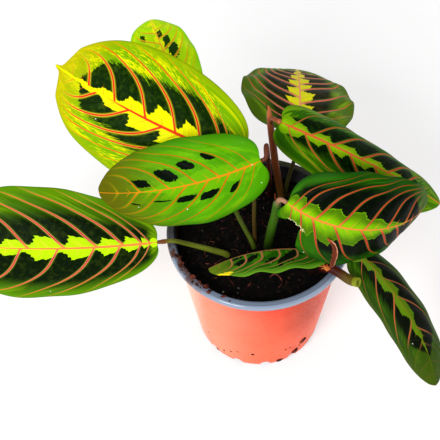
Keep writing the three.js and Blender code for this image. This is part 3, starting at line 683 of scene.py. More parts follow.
def leaf_back_material():
    """The underside: duller and paler, washed with dusky pink, with the veins standing out."""
    w = Finish("leaf underside")
    _, out, number, _, apart = vein_net(w)
    rib = w.smooth(w.attribute("rib_distance"), 0.4, 0.9, 1.0, 0.0)
    veins = w.math("MAXIMUM", w.smooth(apart, 0.2, 0.55, 1.0, 0.0), rib)
    wash = w.noise(w.vector(number * 3, out * 3), 1.0, 3.0)
    dusky = w.painted(rgb(120, 150, 84), (rgb(150, 108, 92), w.smooth(wash, 0.35, 0.65)))
    colour = w.painted(rgb(150, 176, 96), (dusky, w.smooth(out, 0.2, 0.8)), (rgb(168, 92, 84), veins))
    normal = w.bump(veins, 0.5, 0.0004)
    return w.done(base_color=colour, normal=normal, roughness=0.62, specular_ior_level=0.25)


# ---- Meshes ----
def piece(name, bm, materials, stands_for=None, smooth=True):
    """Makes the bmesh an object at the origin that moves with the plant."""
    mesh = bpy.data.meshes.new(name)
    for face in bm.faces:
        face.smooth = smooth
    bm.to_mesh(mesh)
    bm.free()
    for material in materials:
        mesh.materials.append(material)
    made = bpy.data.objects.new(name, mesh)
    bpy.context.collection.objects.link(made)
    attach(made, "root")
    if stands_for:
        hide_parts(stands_for)
    return made


def thicken(made, thickness, back_material=0):
    """Gives a sheet its thickness, half to each side, with the material so many slots on for its back."""
    solidify = made.modifiers.new("thickness", "SOLIDIFY")
    solidify.thickness = thickness
    solidify.offset = 0
    solidify.material_offset = back_material


def merged(parts):
    """One bmesh that holds them all."""
    whole = bmesh.new()
    for part in parts:
        mesh = bpy.data.meshes.new("part")
        part.to_mesh(mesh)
        part.free()
        whole.from_mesh(mesh)
        bpy.data.meshes.remove(mesh)
    return whole


def roughened(bm, scale, height):
    """Moves each corner a little, as noise with that many cells to a metre says."""
    for vertex in bm.verts:
        vertex.co += Vector(noise.noise_vector(vertex.co * scale)) * height
    return bm


def spun(profile, steps):
    """A profile of (radius, height) points turned once round the Z axis."""
    bm = bmesh.new()
    points = [bm.verts.new((radius, 0, height)) for radius, height in profile]
    edges = [bm.edges.new(pair) for pair in zip(points, points[1:])]
    axis = dict(cent=(0, 0, 0), axis=(0, 0, 1), angle=TURN)
    bmesh.ops.spin(bm, geom=points + edges, steps=steps, use_merge=True, **axis)
    bmesh.ops.remove_doubles(bm, verts=bm.verts, dist=MERGE)
    bmesh.ops.recalc_face_normals(bm, faces=bm.faces)
    return bm


def bent(start, middle, end, steps):
    """Points of a curve from start to end, drawn towards middle."""
    points = []
    for step in range(steps + 1):
        share = step / steps
        weights = ((1 - share) ** 2, 2 * share * (1 - share), share**2)
        points.append(tuple(sum(k * p[i] for k, p in zip(weights, (start, middle, end))) for i in (0, 1)))
    return points


# ---- Leaf blades ----
def half_of(across):
    """Which half of a leaf a place is on: 0 for the left one, 1 for the right one."""
    return 0 if across > 0 else 1


def turned_at(leaf, t):
    """Unit vectors at a share of the midrib: ahead along it, out along the left half, up off the face."""
    heading = math.radians(leaf["heading"] + leaf["sway"] * t)
    pitch = math.radians(leaf["pitch"] - leaf["droop"] * t)
    roll = math.radians(leaf["roll"] + leaf["twist"] * t)
    level_share = math.cos(pitch)
    ahead = Vector((level_share * math.cos(heading), level_share * math.sin(heading), math.sin(pitch)))
    level = Vector((-math.sin(heading), math.cos(heading), 0))
    left = level * math.cos(roll) + ahead.cross(level) * math.sin(roll)
    return ahead, left, ahead.cross(left)


def rib_points(leaf):
    points = [Vector(leaf["base"])]
    for step in range(RIB_STEPS):
        ahead = turned_at(leaf, (step + 0.5) / RIB_STEPS)[0]
        points.append(points[-1] + ahead * leaf["length"] / RIB_STEPS)
    return points


def drawn_in(leaf, t):
    """What is left of the width where a leaf ends in a short narrow point."""
    share = min(max((t - POINT_FROM) / (POINT_TO - POINT_FROM), 0), 1)
    return 1 - leaf.get("point", 0) * share * share * (3 - 2 * share)


def width_share(leaf, t):
    widest = leaf["rise"] / (leaf["rise"] + leaf["fall"])
    round_end = (t / widest) ** leaf["rise"] * ((1 - t) / (1 - widest)) ** leaf["fall"]
    return round_end * (1 - leaf.get("tip_taper", TIP_TAPER) * t**TIP_POWER) * drawn_in(leaf, t)


def reach_at(leaf, t, out):
    return out * mix(BLUNT_END * drawn_in(leaf, t), leaf["half_width"], width_share(leaf, t))


def blade_point(leaf, rib, t, across, pleat=0.0):
    """A point of the blade, t along its midrib and across it from -1 at the right margin to 1 at the left.
    Each half leaves the midrib at the leaf's fold and curls on to the margin."""
    out, half = abs(across), half_of(across)
    ahead, left, up = turned_at(leaf, t)
    share = width_share(leaf, t)
    reach = reach_at(leaf, t, out)
    fold = math.radians(leaf["fold"][half])
    bend = math.radians(leaf["curl"][half]) / leaf["half_width"]
    aside = (math.sin(fold + bend * reach) - math.sin(fold)) / bend
    lift = (math.cos(fold) - math.cos(fold + bend * reach)) / bend
    wave = MARGIN_WAVE * out**3 * share * math.sin(TURN * MARGIN_WAVES * t + leaf["heading"] + 2 * half)
    lobe = BASAL_LOBE * leaf["length"] * out**2 * (1 - t) ** LOBE_FADE * share
    step = min(int(t * RIB_STEPS), RIB_STEPS - 1)
    middle = rib[step].lerp(rib[step + 1], t * RIB_STEPS - step)
    return middle + left * math.copysign(aside, across) + up * (lift + pleat + wave) - ahead * lobe


def vein_start(leaf, half, t, out):
    """The share of the midrib where the side vein leaves that passes t along and out across."""
    bow = leaf["lean"][half] * out + leaf["hook"][half] * out ** leaf.get("hook_power", HOOK_POWER)
    return (1 - (1 - t) * (1 + VEIN_START * bow)) / (1 + (1 - t) * bow)


def vein_number(leaf, half, t, out):
    """How many side veins lie nearer the base than that place, with a whole number on each vein."""
    starts = leaf["veins"][half]
    before, after = (3 * starts[0] - starts[1]) / 2, (3 * starts[-1] - starts[-2]) / 2
    knots = (before, *starts, min(after, 1.0))
    numbers = (0.5, *range(1, len(starts) + 1), len(starts) + 0.5)
    return float(np.interp(vein_start(leaf, half, t, out), knots, numbers))


def gap_between_veins(leaf, rib, t, across):
    """The distance in millimetres from a vein to the next, from a short step along and one across."""
    out, half = abs(across), half_of(across)
    side = 1 - 2 * half
    before, after = max(t - 0.01, 0.0), min(t + 0.01, 1.0)
    wider = min(out + 0.02, 1.0)
    nearer = max(wider - 0.04, 0.0)
    step = blade_point(leaf, rib, after, across) - blade_point(leaf, rib, before, across)
    number = vein_number(leaf, half, after, out) - vein_number(leaf, half, before, out)
    step_out = blade_point(leaf, rib, t, side * wider) - blade_point(leaf, rib, t, side * nearer)
    number_out = vein_number(leaf, half, t, wider) - vein_number(leaf, half, t, nearer)
    along, outward, both = step.dot(step), step_out.dot(step_out), step.dot(step_out)
    area = along * outward - both * both
    if area < 1e-16:
        return 4.0
    steepness = (number**2 * outward - 2 * number * number_out * both + number_out**2 * along) / area
    return min(WIDEST_GAP, 1 / (math.sqrt(max(steepness, 1e-6)) * MM))


def spot_depth(spots, t, across):
    """How deep inside one of the single spots a place on the blade is: 1 at its middle, 0 at its edge."""
    deepest = -1.0
    for middle_t, middle_across, half_length, half_reach in spots:
        slanted = (t - middle_t - SPOT_SLANT * (abs(across) - abs(middle_across))) / half_length
        aside = (across - middle_across) / half_reach
        deepest = max(deepest, 1 - (abs(slanted) ** 3 + abs(aside) ** 3) ** (1 / 3))
    return deepest


def blade_share(along, out):
    """The share of the midrib for a row of the blade's net, whose rows slant as side veins do."""
    start = mix(along, (1 - math.cos(math.pi * along)) / 2, END_CROWDING)
    return start + VEIN_SWEEP * start * (1 - start) * out**SWEEP_POWER


def tear(bm, leaf, places):
    """Takes out the part of the right half that is torn off beside the base, and gives the torn edge."""
    lost = []
    for face in bm.faces:
        t, across = (sum(places[v][i] for v in face.verts) / 4 for i in (0, 1))
        ragged = noise.noise(Vector((t * 60, across * 14, 3))) * 0.05
        after, until = (limit - slant * (-across - TEAR_FROM)
                        for limit, slant in zip((TEAR_AFTER, TEAR_UNTIL), TEAR_SLANTS))
        if across < -(TEAR_FROM + ragged) and t > after and vein_start(leaf, 1, t, -across) < until:
            lost.append(face)
    kept = set(bm.faces) - set(lost)
    edge = {vertex for face in lost for vertex in face.verts if kept.intersection(vertex.link_faces)}
    bmesh.ops.delete(bm, geom=lost, context="FACES")
    return edge


def leaf_blade(name, leaf, materials):
    bm = bmesh.new()
    bmesh.ops.create_grid(bm, x_segments=BLADE_COLUMNS, y_segments=BLADE_ROWS, size=1)
    blade_map, vein_map = (bm.loops.layers.uv.new(layer) for layer in ("blade", "veins"))
    for layer in ("rib_distance", "vein_gap", "spot", "pale_spot", "torn_edge"):
        bm.verts.layers.float.new(layer)
    told = bm.verts.layers.float
    rib = rib_points(leaf)
    places = {}
    for vertex in bm.verts:
        across, along = -vertex.co.x, (vertex.co.y + 1) / 2
        places[vertex] = (min(blade_share(along, abs(across)), 1.0), across)
    for vertex, (t, across) in places.items():
        out = abs(across)
        number = vein_number(leaf, half_of(across), t, out)
        pleat = -PLEAT * math.cos(TURN * number) * 4 * out * (1 - out) * width_share(leaf, t)
        vertex.co = blade_point(leaf, rib, t, across, pleat)
        vertex[told["rib_distance"]] = reach_at(leaf, t, out) / MM
        vertex[told["vein_gap"]] = gap_between_veins(leaf, rib, t, across)
        vertex[told["spot"]] = spot_depth(leaf.get("spots", ()), t, across)
        vertex[told["pale_spot"]] = spot_depth(leaf.get("pale_spots", ()), t, across)
    for face in bm.faces:
        half = half_of(sum(places[v][1] for v in face.verts))
        for loop in face.loops:
            t, across = places[loop.vert]
            loop[blade_map].uv = ((1 + across) / 2, t)
            loop[vein_map].uv = ((1 + across) / 2, vein_number(leaf, half, t, abs(across)) / VEIN_SLOTS)
    if leaf.get("torn"):
        for vertex in tear(bm, leaf, places):
            vertex[told["torn_edge"]] = 1.0 if -places[vertex][1] < TEAR_FROM + TEAR_FRAY else 0.0
    bmesh.ops.remove_doubles(bm, verts=bm.verts, dist=MERGE)
    blade = piece("leaf_" + name + "_blade", bm, materials, "leaf_" + name)
    thicken(blade, BLADE_THICKNESS, 1)


# ---- Stalks and stems ----
PATH_STEPS = 16  # points worked out between two way-points, before they are spaced evenly


def smooth_path(points, steps):
    """Evenly spaced points of a smooth curve through the given points."""
    points = [Vector(p) for p in points]
    before, after = 2 * points[0] - points[1], 2 * points[-1] - points[-2]
    padded = [before, *points, after]
    dense = []
    for a, b, c, d in zip(padded, padded[1:], padded[2:], padded[3:]):
        ab, bc, cd = ((q - p).length ** 0.5 or 1e-6 for p, q in ((a, b), (b, c), (c, d)))
        leave = ((b - a) / ab - (c - a) / (ab + bc) + (c - b) / bc) * bc
        arrive = ((c - b) / bc - (d - b) / (bc + cd) + (d - c) / cd) * bc
        for step in range(PATH_STEPS):
            s = step / PATH_STEPS
            dense.append(b * (2 * s**3 - 3 * s**2 + 1) + leave * (s**3 - 2 * s**2 + s)
                         + c * (3 * s**2 - 2 * s**3) + arrive * (s**3 - s**2))
    dense.append(points[-1])
    travelled = np.cumsum([0] + [(q - p).length for p, q in zip(dense, dense[1:])])
    even = np.linspace(0, travelled[-1], steps + 1)
    axes = (np.interp(even, travelled, [p[i] for p in dense]) for i in range(3))
    return [Vector(point) for point in zip(*axes)]


def rooted(points):
    """Way-points that start straight below the first one, in the soil."""
    return [(*points[0][:2], ROOT_LEVEL), *points]


def tube(path, radius_at, sides=16):
    """A closed round tube along a path, whose radius follows the share of its length. Its map runs once
    round it and once along it."""
    last = len(path) - 1
    bm = bmesh.new()
    bmesh.ops.create_grid(bm, x_segments=sides, y_segments=last, size=1)
    skin = bm.loops.layers.uv.new("skin")
    directions = [(path[min(i + 1, last)] - path[max(i - 1, 0)]).normalized() for i in range(last + 1)]
    aside = directions[0].orthogonal().normalized()
    frames = []
    for direction in directions:
        aside = (aside - direction * aside.dot(direction)).normalized()
        frames.append((aside.copy(), direction.cross(aside)))
    for vertex in bm.verts:
        turn, along = (vertex.co.x + 1) / 2, (vertex.co.y + 1) / 2
        for loop in vertex.link_loops:
            loop[skin].uv = (turn, along)
        row = round(along * last)
        first, second = frames[row]
        outward = first * math.cos(TURN * turn) + second * math.sin(TURN * turn)
        vertex.co = path[row] + outward * radius_at(along)
    bmesh.ops.remove_doubles(bm, verts=bm.verts, dist=MERGE)
    bmesh.ops.holes_fill(bm, edges=[e for e in bm.edges if e.is_boundary], sides=0)
    bmesh.ops.recalc_face_normals(bm, faces=bm.faces)
    return bm


def swollen(share, middle, length):
    return math.exp(-(((share - middle) / length) ** 2))


def leaf_stalk(name, stalk, through, steps=60):
    """The tube of one leaf's stalk, led in under the leaf's base."""
    leaf = LEAVES[name]
    ahead = turned_at(leaf, 0)[0]
    led_in = [Vector(leaf["base"]) - ahead * back for back in (stalk["joint"], stalk["joint"] / 2, GAP / 3)]
    until, sheath = stalk.get("sheathed", (0, 0))

    def radius_at(share):
        if share < until:
            return mix(stalk["foot"], sheath, share / until)
        bare = stalk["top"] if until else mix(stalk["foot"], stalk["top"], share)
        bare *= 1 + STALK_JOINT_SWELL * swollen(share, STALK_JOINT_AT, STALK_JOINT_LENGTH)
        return mix(sheath, bare, min((share - until) / SHEATH_MOUTH, 1.0)) if until else bare

    return tube(smooth_path([*through, *led_in], steps), radius_at)


def sheath_radius(share):
    closing = min(1.0, (1 - share) * SHEATH_TIP_SHARE) ** 0.5
    return max(SHEATH_RADIUS * (1 - SHEATH_TAPER * share**6) * closing, SHEATH_TIP_RADIUS)


def creeper_radius(share):
    swell = swollen(share, CREEPER_JOINT_AT, CREEPER_JOINT_LENGTH)
    return mix(CREEPER_RADIUS, CREEPER_END_RADIUS, share) + CREEPER_JOINT_SWELL * swell


def hollow_stem(path):
    """The creeping stem, whose cut end is a narrow green ring round a dark hollow."""
    bm = tube(path, creeper_radius, sides=20)
    skin = bm.loops.layers.uv.active
    caps = [face for face in bm.faces if len(face.verts) > 4]
    cap = min(caps, key=lambda face: (face.calc_center_median() - path[-1]).length)
    ring_width = CREEPER_END_RADIUS - CREEPER_HOLLOW_RADIUS
    ring = bmesh.ops.inset_region(bm, faces=[cap], thickness=ring_width, depth=CREEPER_RING_HEIGHT)
    for face in ring["faces"]:
        for loop in face.loops:
            loop[skin].uv = (0.5, 1.0)
    floor = bmesh.ops.extrude_discrete_faces(bm, faces=[cap])["faces"]
    inward = (path[-2] - path[-1]).normalized() * CREEPER_HOLLOW_DEPTH
    bmesh.ops.translate(bm, verts=[vertex for face in floor for vertex in face.verts], vec=inward)
    return bm


def tuft(start, points, thickness):
    """Short pointed strands that stand out from a joint."""
    def taper(share):
        return thickness * (1 - 0.85 * share)
    start = Vector(start)
    strands = []
    for point in points:
        path = [start + Vector(point) * share for share in (0, 0.3, 0.6, 0.85, 1)]
        strands.append(tube(path, taper, sides=6))
    return merged(strands)


def joint_knot():
    """The frayed lump where the sheath and the stalks leave the creeping stem."""
    bm = bmesh.new()
    shape = Matrix.Translation(JOINT_KNOT_AT) @ Matrix.Diagonal((*JOINT_KNOT_SIZE, 1))
    bmesh.ops.create_icosphere(bm, subdivisions=3, radius=1, matrix=shape)
    return roughened(bm, 900, 0.0005)


# The colours of each stalk's foot, middle and top.
STALK_COLOURS = {
    "stalk_left": ((112, 128, 30), (100, 112, 24), (112, 62, 22)),
    "stalk_upper_left": ((72, 54, 20), (82, 72, 24), (110, 112, 34)),
    "stalk_middle": ((34, 6, 3), (72, 22, 12), (88, 38, 20)),
    "stalk_back_left": ((72, 94, 16), (72, 98, 16), (122, 154, 34)),
    "stalk_back_right": ((56, 60, 24), (66, 62, 28), (140, 90, 60)),
    "stalk_front_right": ((36, 74, 4), (54, 100, 12), (168, 120, 92)),
    "stalk_right": ((84, 54, 12), (146, 72, 38), (190, 106, 62)),
    "creeping_stem": ((84, 92, 20), (92, 96, 22), (120, 80, 40)),
}


def skin_material(name, foot, stretches, grain_rows=5, grain_colour=(60, 40, 20), grain_share=0.35,
                  specular=0.15):
    """A stalk's skin, with dark grain. Each stretch is a colour and the shares of the stalk over which it
    takes over from the one below."""
    w = Finish(name)
    around, along = w.on_map("skin")
    grain = w.noise(w.vector(around * 14, along * grain_rows), 1.0, 3.0)
    coats = [(rgb(*colour), w.smooth(along, start, end)) for colour, start, end in stretches]
    grained = (rgb(*grain_colour), w.smooth(grain, 0.3, 0.7, 0.0, grain_share))
    colour = w.painted(rgb(*foot), *coats, grained)
    normal = w.bump(grain, 0.3, 0.0002)
    return w.done(base_color=colour, normal=normal, roughness=0.5, specular_ior_level=specular)


def stalk_material(name):
    foot, middle, top = STALK_COLOURS[name]
    return skin_material(name.replace("_", " ") + " skin", foot, ((middle, 0.2, 0.6), (top, 0.86, 0.95)))


def creeper_material():
    """Painted shade makes it nearly black at the foot; dark red-brown past the joint, then tan, with a green
    cut end.
    """
    stretches = (((64, 12, 2), 0.42, 0.5), ((96, 80, 20), 0.68, 0.9), ((136, 146, 26), 0.93, 0.96))
    return skin_material("creeping stem cut skin", (12, 4, 2), stretches, 9, (40, 18, 8), 0.4, 0.12)


def stalk_piece(name, bm, materials=None):
    brown = name in ("stalk_right", "stalk_middle", "creeping_stem")
    piece(name + "_skin", bm, materials or [stalk_material(name)], name)


# ---- The pot ----
def wall_radius(height):
    """The outside of the wall at a height, which may be a number or a signal."""
    return mix(FOOT_RADIUS, SHOULDER_RADIUS, (height - CORNER_HEIGHT) / (POT_HEIGHT - CORNER_HEIGHT))


def pot_profile():
    under_rim = POT_HEIGHT - POT_WALL
    skirt = RIM_RADIUS - POT_WALL
    skirt_end = POT_HEIGHT - RIM_DROP
    round_width, round_height = RIM_ROUND
    groove_half_width, groove_depth = GROOVE
    groove = RIM_RADIUS - round_width - groove_half_width
    inside_corner = (wall_radius(CORNER_HEIGHT) - POT_WALL, CORNER_HEIGHT)
    return [
        (0, 0),
        *bent((BASE_RADIUS, 0), (FOOT_RADIUS - 0.001, CORNER_LIFT), (FOOT_RADIUS, CORNER_HEIGHT), 8),
        *((wall_radius(z), z) for z in np.linspace(CORNER_HEIGHT, under_rim, 14)[1:]),
        (skirt, under_rim), (skirt, skirt_end), (RIM_RADIUS, skirt_end),
        *bent((RIM_RADIUS, POT_HEIGHT - round_height), (RIM_RADIUS, POT_HEIGHT),
              (RIM_RADIUS - round_width, POT_HEIGHT), 6),
        (groove, POT_HEIGHT - groove_depth), (groove - groove_half_width, POT_HEIGHT),
        (MOUTH_RADIUS + MOUTH_BEVEL, POT_HEIGHT),
        (MOUTH_RADIUS + MOUTH_BEVEL / 4, POT_HEIGHT - MOUTH_BEVEL / 4),
        (MOUTH_RADIUS, POT_HEIGHT - MOUTH_BEVEL),
        *bent(inside_corner, (FOOT_RADIUS - 0.002, 2 * POT_WALL), (BASE_RADIUS - 0.001, POT_WALL), 6),
        (0, POT_WALL),
    ]


def drain_notches():
    """Round pegs through the bottom corner, one for each notch."""
    bm = bmesh.new()
    spot = Matrix.Translation((FOOT_RADIUS - DRAIN_SETBACK, 0, DRAIN_HEIGHT))
    slant = Matrix.Rotation(DRAIN_SLANT, 4, "Y")
    for number in range(DRAIN_NOTCHES):
        turn = Matrix.Rotation(DRAIN_TURN + TURN * number / DRAIN_NOTCHES, 4, "Z")
        bmesh.ops.create_cone(bm, cap_ends=True, segments=24, radius1=DRAIN_RADIUS, radius2=DRAIN_RADIUS,
                              depth=DRAIN_LENGTH, matrix=turn @ spot @ slant)
    return bm


def cut_away(made, cutter_shape):
    """Cuts a shape out of a piece and keeps the result as the piece's own mesh."""
    mesh = bpy.data.meshes.new("cutter")
    cutter_shape.to_mesh(mesh)
    cutter_shape.free()
    cutter = bpy.data.objects.new("cutter", mesh)
    bpy.context.collection.objects.link(cutter)
    modifier = made.modifiers.new("cut", "BOOLEAN")
    modifier.operation = "DIFFERENCE"
    modifier.object = cutter
    depsgraph = bpy.context.evaluated_depsgraph_get()
    cut = bpy.data.meshes.new_from_object(made.evaluated_get(depsgraph))
    made.modifiers.clear()
    whole = made.data
    made.data = cut
    bpy.data.meshes.remove(whole)
    bpy.data.objects.remove(cutter)
    bpy.data.meshes.remove(mesh)


def pot_material():
    """Orange plastic, with painted light that pales its left side and painted shade in brown down its right,
    a blue-grey rim and inside with a painted highlight on the rim's outer roll, and painted shade that
    darkens the rim and inside at the back."""
    w = Finish("two-tone pot plastic")
    place = w.place()
    x, y, z = w.split(place)
    radius = w.math("SQRT", x * x + y * y)
    # Painted shade: a brown band down the front right of the wall, strongest high up, where the wall turns
    # from the light.
    painted_side_shade = w.smooth(x, 0.0, 0.028, 0.0, 0.75) * w.smooth(x, 0.045, 0.028) * w.smooth(y, 0.0, -0.02)
    painted_side_shade *= w.smooth(w.noise(place, 30.0, 1.0), 0.3, 0.6, 0.8, 1.0) * w.smooth(z, 0.02, 0.075, 0.12, 1.0)
    grime = w.smooth(w.noise(place, 160.0, 4.0, 0.6), 0.62, 0.7) * w.smooth(z, 0.0, 0.03, 0.9, 0.15)
    clay = w.painted(
        rgb(250, 94, 56),
        (rgb(228, 56, 22), w.smooth(z, 0.02, 0.104)),
        (rgb(255, 126, 94), w.smooth(w.noise(place, 26.0, 2.0), 0.35, 0.7, 0.0, 0.25)),
        # Painted light: the left side paler and its far left edge nearly white, as a painted sheen.
        (rgb(255, 164, 130), w.smooth(x, 0.010, -0.040, 0.0, 0.52)),
        (rgb(255, 224, 204), w.smooth(x, -0.036, -0.052, 0.0, 0.6)),
        (rgb(168, 50, 2), painted_side_shade),
        (rgb(96, 50, 34), grime),
    )
    dirt = w.smooth(w.noise(place, 70.0, 4.0, 0.65), 0.48, 0.58) * w.smooth(x, -0.03, -0.052)
    rim = w.painted(
        rgb(96, 108, 128),
        # Painted highlight: the rim's outer roll is lighter than its top.
        (rgb(126, 140, 162), w.smooth(radius, 0.0578, 0.0586)),
        (rgb(78, 46, 38), dirt),
        # Painted shade: the rim and the inside darken to near black towards the back.
        (rgb(24, 14, 10), w.smooth(y, -0.016, 0.006, 0.0, 0.88)),
    )
    is_rim = w.smooth(z, POT_HEIGHT - RIM_DROP - 0.0002, POT_HEIGHT - RIM_DROP)
    inside = w.smooth(wall_radius(z) - radius, 0.00083, 0.00103)
    scuffs = w.noise(place, 400.0, 3.0)
    return w.done(
        base_color=w.painted(clay, (rim, w.math("MAXIMUM", is_rim, inside))),
        roughness=w.smooth(scuffs, 0.3, 0.7, 0.3, 0.45), normal=w.bump(scuffs, 0.04, 0.0002),
        coat_weight=is_rim, coat_roughness=0.14, specular_ior_level=0.08,
    )


# ---- The soil and its bits ----
SOIL_EDGE_RADIUS = wall_radius(SOIL_EDGE_LEVEL) - POT_WALL - GAP - SOIL_SETBACK


def soil_height(x, y):
    """The soil's surface: two sizes of waves and crumbs, on a bed that sinks towards the pot's wall."""
    share = min(math.hypot(x, y) / SOIL_EDGE_RADIUS, 1.0)
    x, y = x / MM, y / MM
    coarse = math.sin(0.23 * x + 1.3) * math.cos(0.19 * y - 0.7)
    fine = math.sin(0.52 * x - 0.31 * y) * math.cos(0.47 * y + 0.36 * x)
    crumbs = noise.fractal(Vector((x * 0.35, y * 0.35, 0)), 1.0, 2.0, 4)
    relief = SOIL_LUMP * (0.6 * coarse + 0.4 * fine) + SOIL_CRUMBLE * crumbs
    return mix(SOIL_LEVEL, SOIL_EDGE_LEVEL, share**4) + relief


def soil_bed():
    side = POT_WALL + GAP
    profile = [(0, side), (BASE_RADIUS - SOIL_CORNER, side),
               (wall_radius(2 * SOIL_CORNER) - side - SOIL_SETBACK, 2 * SOIL_CORNER),
               (SOIL_EDGE_RADIUS, SOIL_EDGE_LEVEL - 0.001)]
    profile += [(SOIL_EDGE_RADIUS * ring / SOIL_RINGS, SOIL_EDGE_LEVEL) for ring in range(SOIL_RINGS, -1, -1)]
    bm = spun(profile, SOIL_STEPS)
    for vertex in bm.verts:
        if vertex.co.z > SOIL_EDGE_LEVEL - 0.0005:
            vertex.co.z = soil_height(vertex.co.x, vertex.co.y)
    return bm


def soil_material():
    w = Finish("damp potting soil")
    place = w.place()
    clods = w.noise(place, 220.0, 5.0, 0.65)
    flecks = w.noise(place, 900.0, 3.0, 0.6)
    colour = w.painted(
        rgb(1, 1, 1),
        (rgb(20, 10, 6), w.smooth(clods, 0.45, 0.75)),
        (rgb(66, 36, 26), w.smooth(flecks, 0.66, 0.72, 0.0, 0.6)),
    )
    normal = w.bump(clods + flecks * 0.4, 0.9, 0.0012)
    return w.done(base_color=colour, normal=normal, roughness=0.9, specular_ior_level=0.1)


def bits_material(name, dark, pale):
    w = Finish(name)
    place = w.place()
    colour = w.painted(rgb(*dark), (rgb(*pale), w.smooth(w.noise(place, 190.0, 3.0), 0.4, 0.65)))
    normal = w.bump(w.noise(place, 1600.0, 2.0), 0.5, 0.0002)
    return w.done(base_color=colour, normal=normal, roughness=0.85, specular_ior_level=0.1)


def spot_on_soil(luck, reach=0.051):
    turn, out = luck.uniform(0, TURN), reach * math.sqrt(luck.random())
    x, y = out * math.cos(turn), out * math.sin(turn)
    return Vector((x, y, soil_height(x, y)))


def crumbs(luck, spots):
    """Small lumps, one for each spot and size."""
    bm = bmesh.new()
    for spot, size in spots:
        flat = [luck.uniform(least, most) * size for least, most in ((0.7, 1.5), (0.6, 1.1), (0.35, 0.7))]
        turned = Matrix.Rotation(luck.uniform(0, TURN), 4, "Z")
        turned = turned @ Matrix.Rotation(luck.uniform(-0.5, 0.5), 4, "X")
        shape = Matrix.Translation(spot) @ turned @ Matrix.Diagonal((*flat, 1))
        bmesh.ops.create_icosphere(bm, subdivisions=1, radius=1, matrix=shape)
    return roughened(bm, 900, 0.0002)


def dirt_on_wall(marks):
    """Flat scabs of soil that cling to the pot's wall."""
    bm = bmesh.new()
    for turn, height, size in marks:
        turned = Matrix.Rotation(math.radians(turn), 4, "Z")
        place = turned @ Matrix.Translation((wall_radius(height), 0, height))
        flat = Matrix.Diagonal((0.35 * size, 1.25 * size, 1.4 * size, 1))
        bmesh.ops.create_icosphere(bm, subdivisions=2, radius=1, matrix=place @ flat)
    return roughened(bm, 700, 0.0004)


def fibre(luck, start, length, thickness, tilt):
    """One curled root fibre from a spot."""
    heading, bend = luck.uniform(0, TURN), luck.uniform(-2.4, 2.4)
    path = [Vector(start)]
    for step in range(6):
        turn = heading + bend * step / 6
        rise = math.sin(tilt) * math.cos(step * 0.5)
        path.append(path[-1] + Vector((math.cos(turn), math.sin(turn), rise)) * length / 6)
    return tube(path, lambda share: thickness * (1 - 0.7 * share), sides=5)


# ---- The dry sheath ----
def dry_sheath_sheet():
    """A papery strip, cupped across, widest at its middle and ragged along its edges."""
    path = smooth_path(DRY_THROUGH, DRY_ROWS)
    bm = bmesh.new()
    bmesh.ops.create_grid(bm, x_segments=10, y_segments=DRY_ROWS, size=1)
    skin = bm.loops.layers.uv.new("skin")
    for vertex in bm.verts:
        across, along = vertex.co.x, (vertex.co.y + 1) / 2
        for loop in vertex.link_loops:
            loop[skin].uv = ((1 + across) / 2, along)
        row = round(along * DRY_ROWS)
        direction = (path[min(row + 1, DRY_ROWS)] - path[max(row - 1, 0)]).normalized()
        aside = DRY_FACING.cross(direction).cross(direction).normalized()
        lift = aside.cross(direction)
        ragged = 1 + 0.3 * noise.noise(Vector((across, along * 14, 0)))
        half = DRY_HALF_WIDTH * (0.4 + 0.6 * math.sin(math.pi * along)) * ragged
        half *= min(1.0, 0.25 + (1 - along) * 9)
        cup = DRY_CUP * across
        vertex.co = path[row] + aside * half * math.sin(cup) / math.sin(DRY_CUP)
        vertex.co += lift * half * (1 - math.cos(cup))
        vertex.co += lift * 0.0003 * noise.noise(Vector((across * 3, along * 9, 5)))
    return bm


def dry_material():
    w = Finish("dry papery sheath")
    across, along = w.on_map("skin")
    side = 1 - across
    strands = w.noise(w.vector(side * 16, along * 3), 1.0, 3.0)
    colour = w.painted(
        rgb(58, 18, 4),
        (rgb(118, 44, 10), w.smooth(strands, 0.3, 0.7)),
        (rgb(184, 104, 64), w.smooth(abs(side * 2 - 1), 0.8, 0.96, 0.0, 0.6)),
        (rgb(236, 160, 118), w.smooth(side, DRY_PALE_EDGE - 0.15, DRY_PALE_EDGE)),
        (rgb(170, 70, 34), w.smooth(along, 0.86, 0.96)),
        (rgb(240, 170, 90), w.smooth(along, 0.16, 0.04)),
    )
    normal = w.bump(strands, 0.6, 0.0003)
    return w.done(base_color=colour, normal=normal, roughness=0.7, specular_ior_level=0.15)


# ---- Putting the pot together ----
cut_away(piece("pot_shell", spun(pot_profile(), POT_STEPS), [pot_material()], "pot"), drain_notches())
piece("soil_bed", soil_bed(), [soil_material()], "soil")

# ---- Putting the plant together ----
leaf_back = leaf_back_material()
for seed, (name, leaf) in enumerate(LEAVES.items(), 1):
    leaf_blade(name, leaf, [leaf_material(name, seed), leaf_back])

for name, stalk in STALKS.items():
    stalk_piece("stalk_" + name, leaf_stalk(name, stalk, rooted(stalk["through"])))

stalk_piece("stalk_right", merged([
    tube(smooth_path(rooted(SHEATH_THROUGH), 80), sheath_radius),
    leaf_stalk("right", SHEATH_JOINT, SHEATH_JOINT["through"], 20),
]))
side_stalks = merged([
    leaf_stalk(name, stalk, stalk["through"], 24) for name, stalk in CREEPER_STALKS.items()
])
for face in side_stalks.faces:
    face.material_index = 1
stalk_piece("creeping_stem", merged([hollow_stem(smooth_path(CREEPER_THROUGH, 60)), side_stalks]),
            [creeper_material(), stalk_material("creeping_stem")])

dry = dry_material()
thicken(piece("dry_sheath_sheet", dry_sheath_sheet(), [dry], "dry_sheath"), DRY_THICKNESS)
frayed = bits_material("frayed joint", (190, 96, 40), (255, 186, 104))
piece("joint_tuft", merged([tuft(JOINT_TUFT_AT, JOINT_TUFT, 0.0006), joint_knot()]), [frayed])
piece("sheath_tips", merged([
    tuft(FRONT_SHEATH_TIP_AT, [FRONT_SHEATH_TIP], 0.0009),
    tuft(BACK_SHEATH_TIP_AT, [BACK_SHEATH_TIP], 0.0007),
]), [dry])

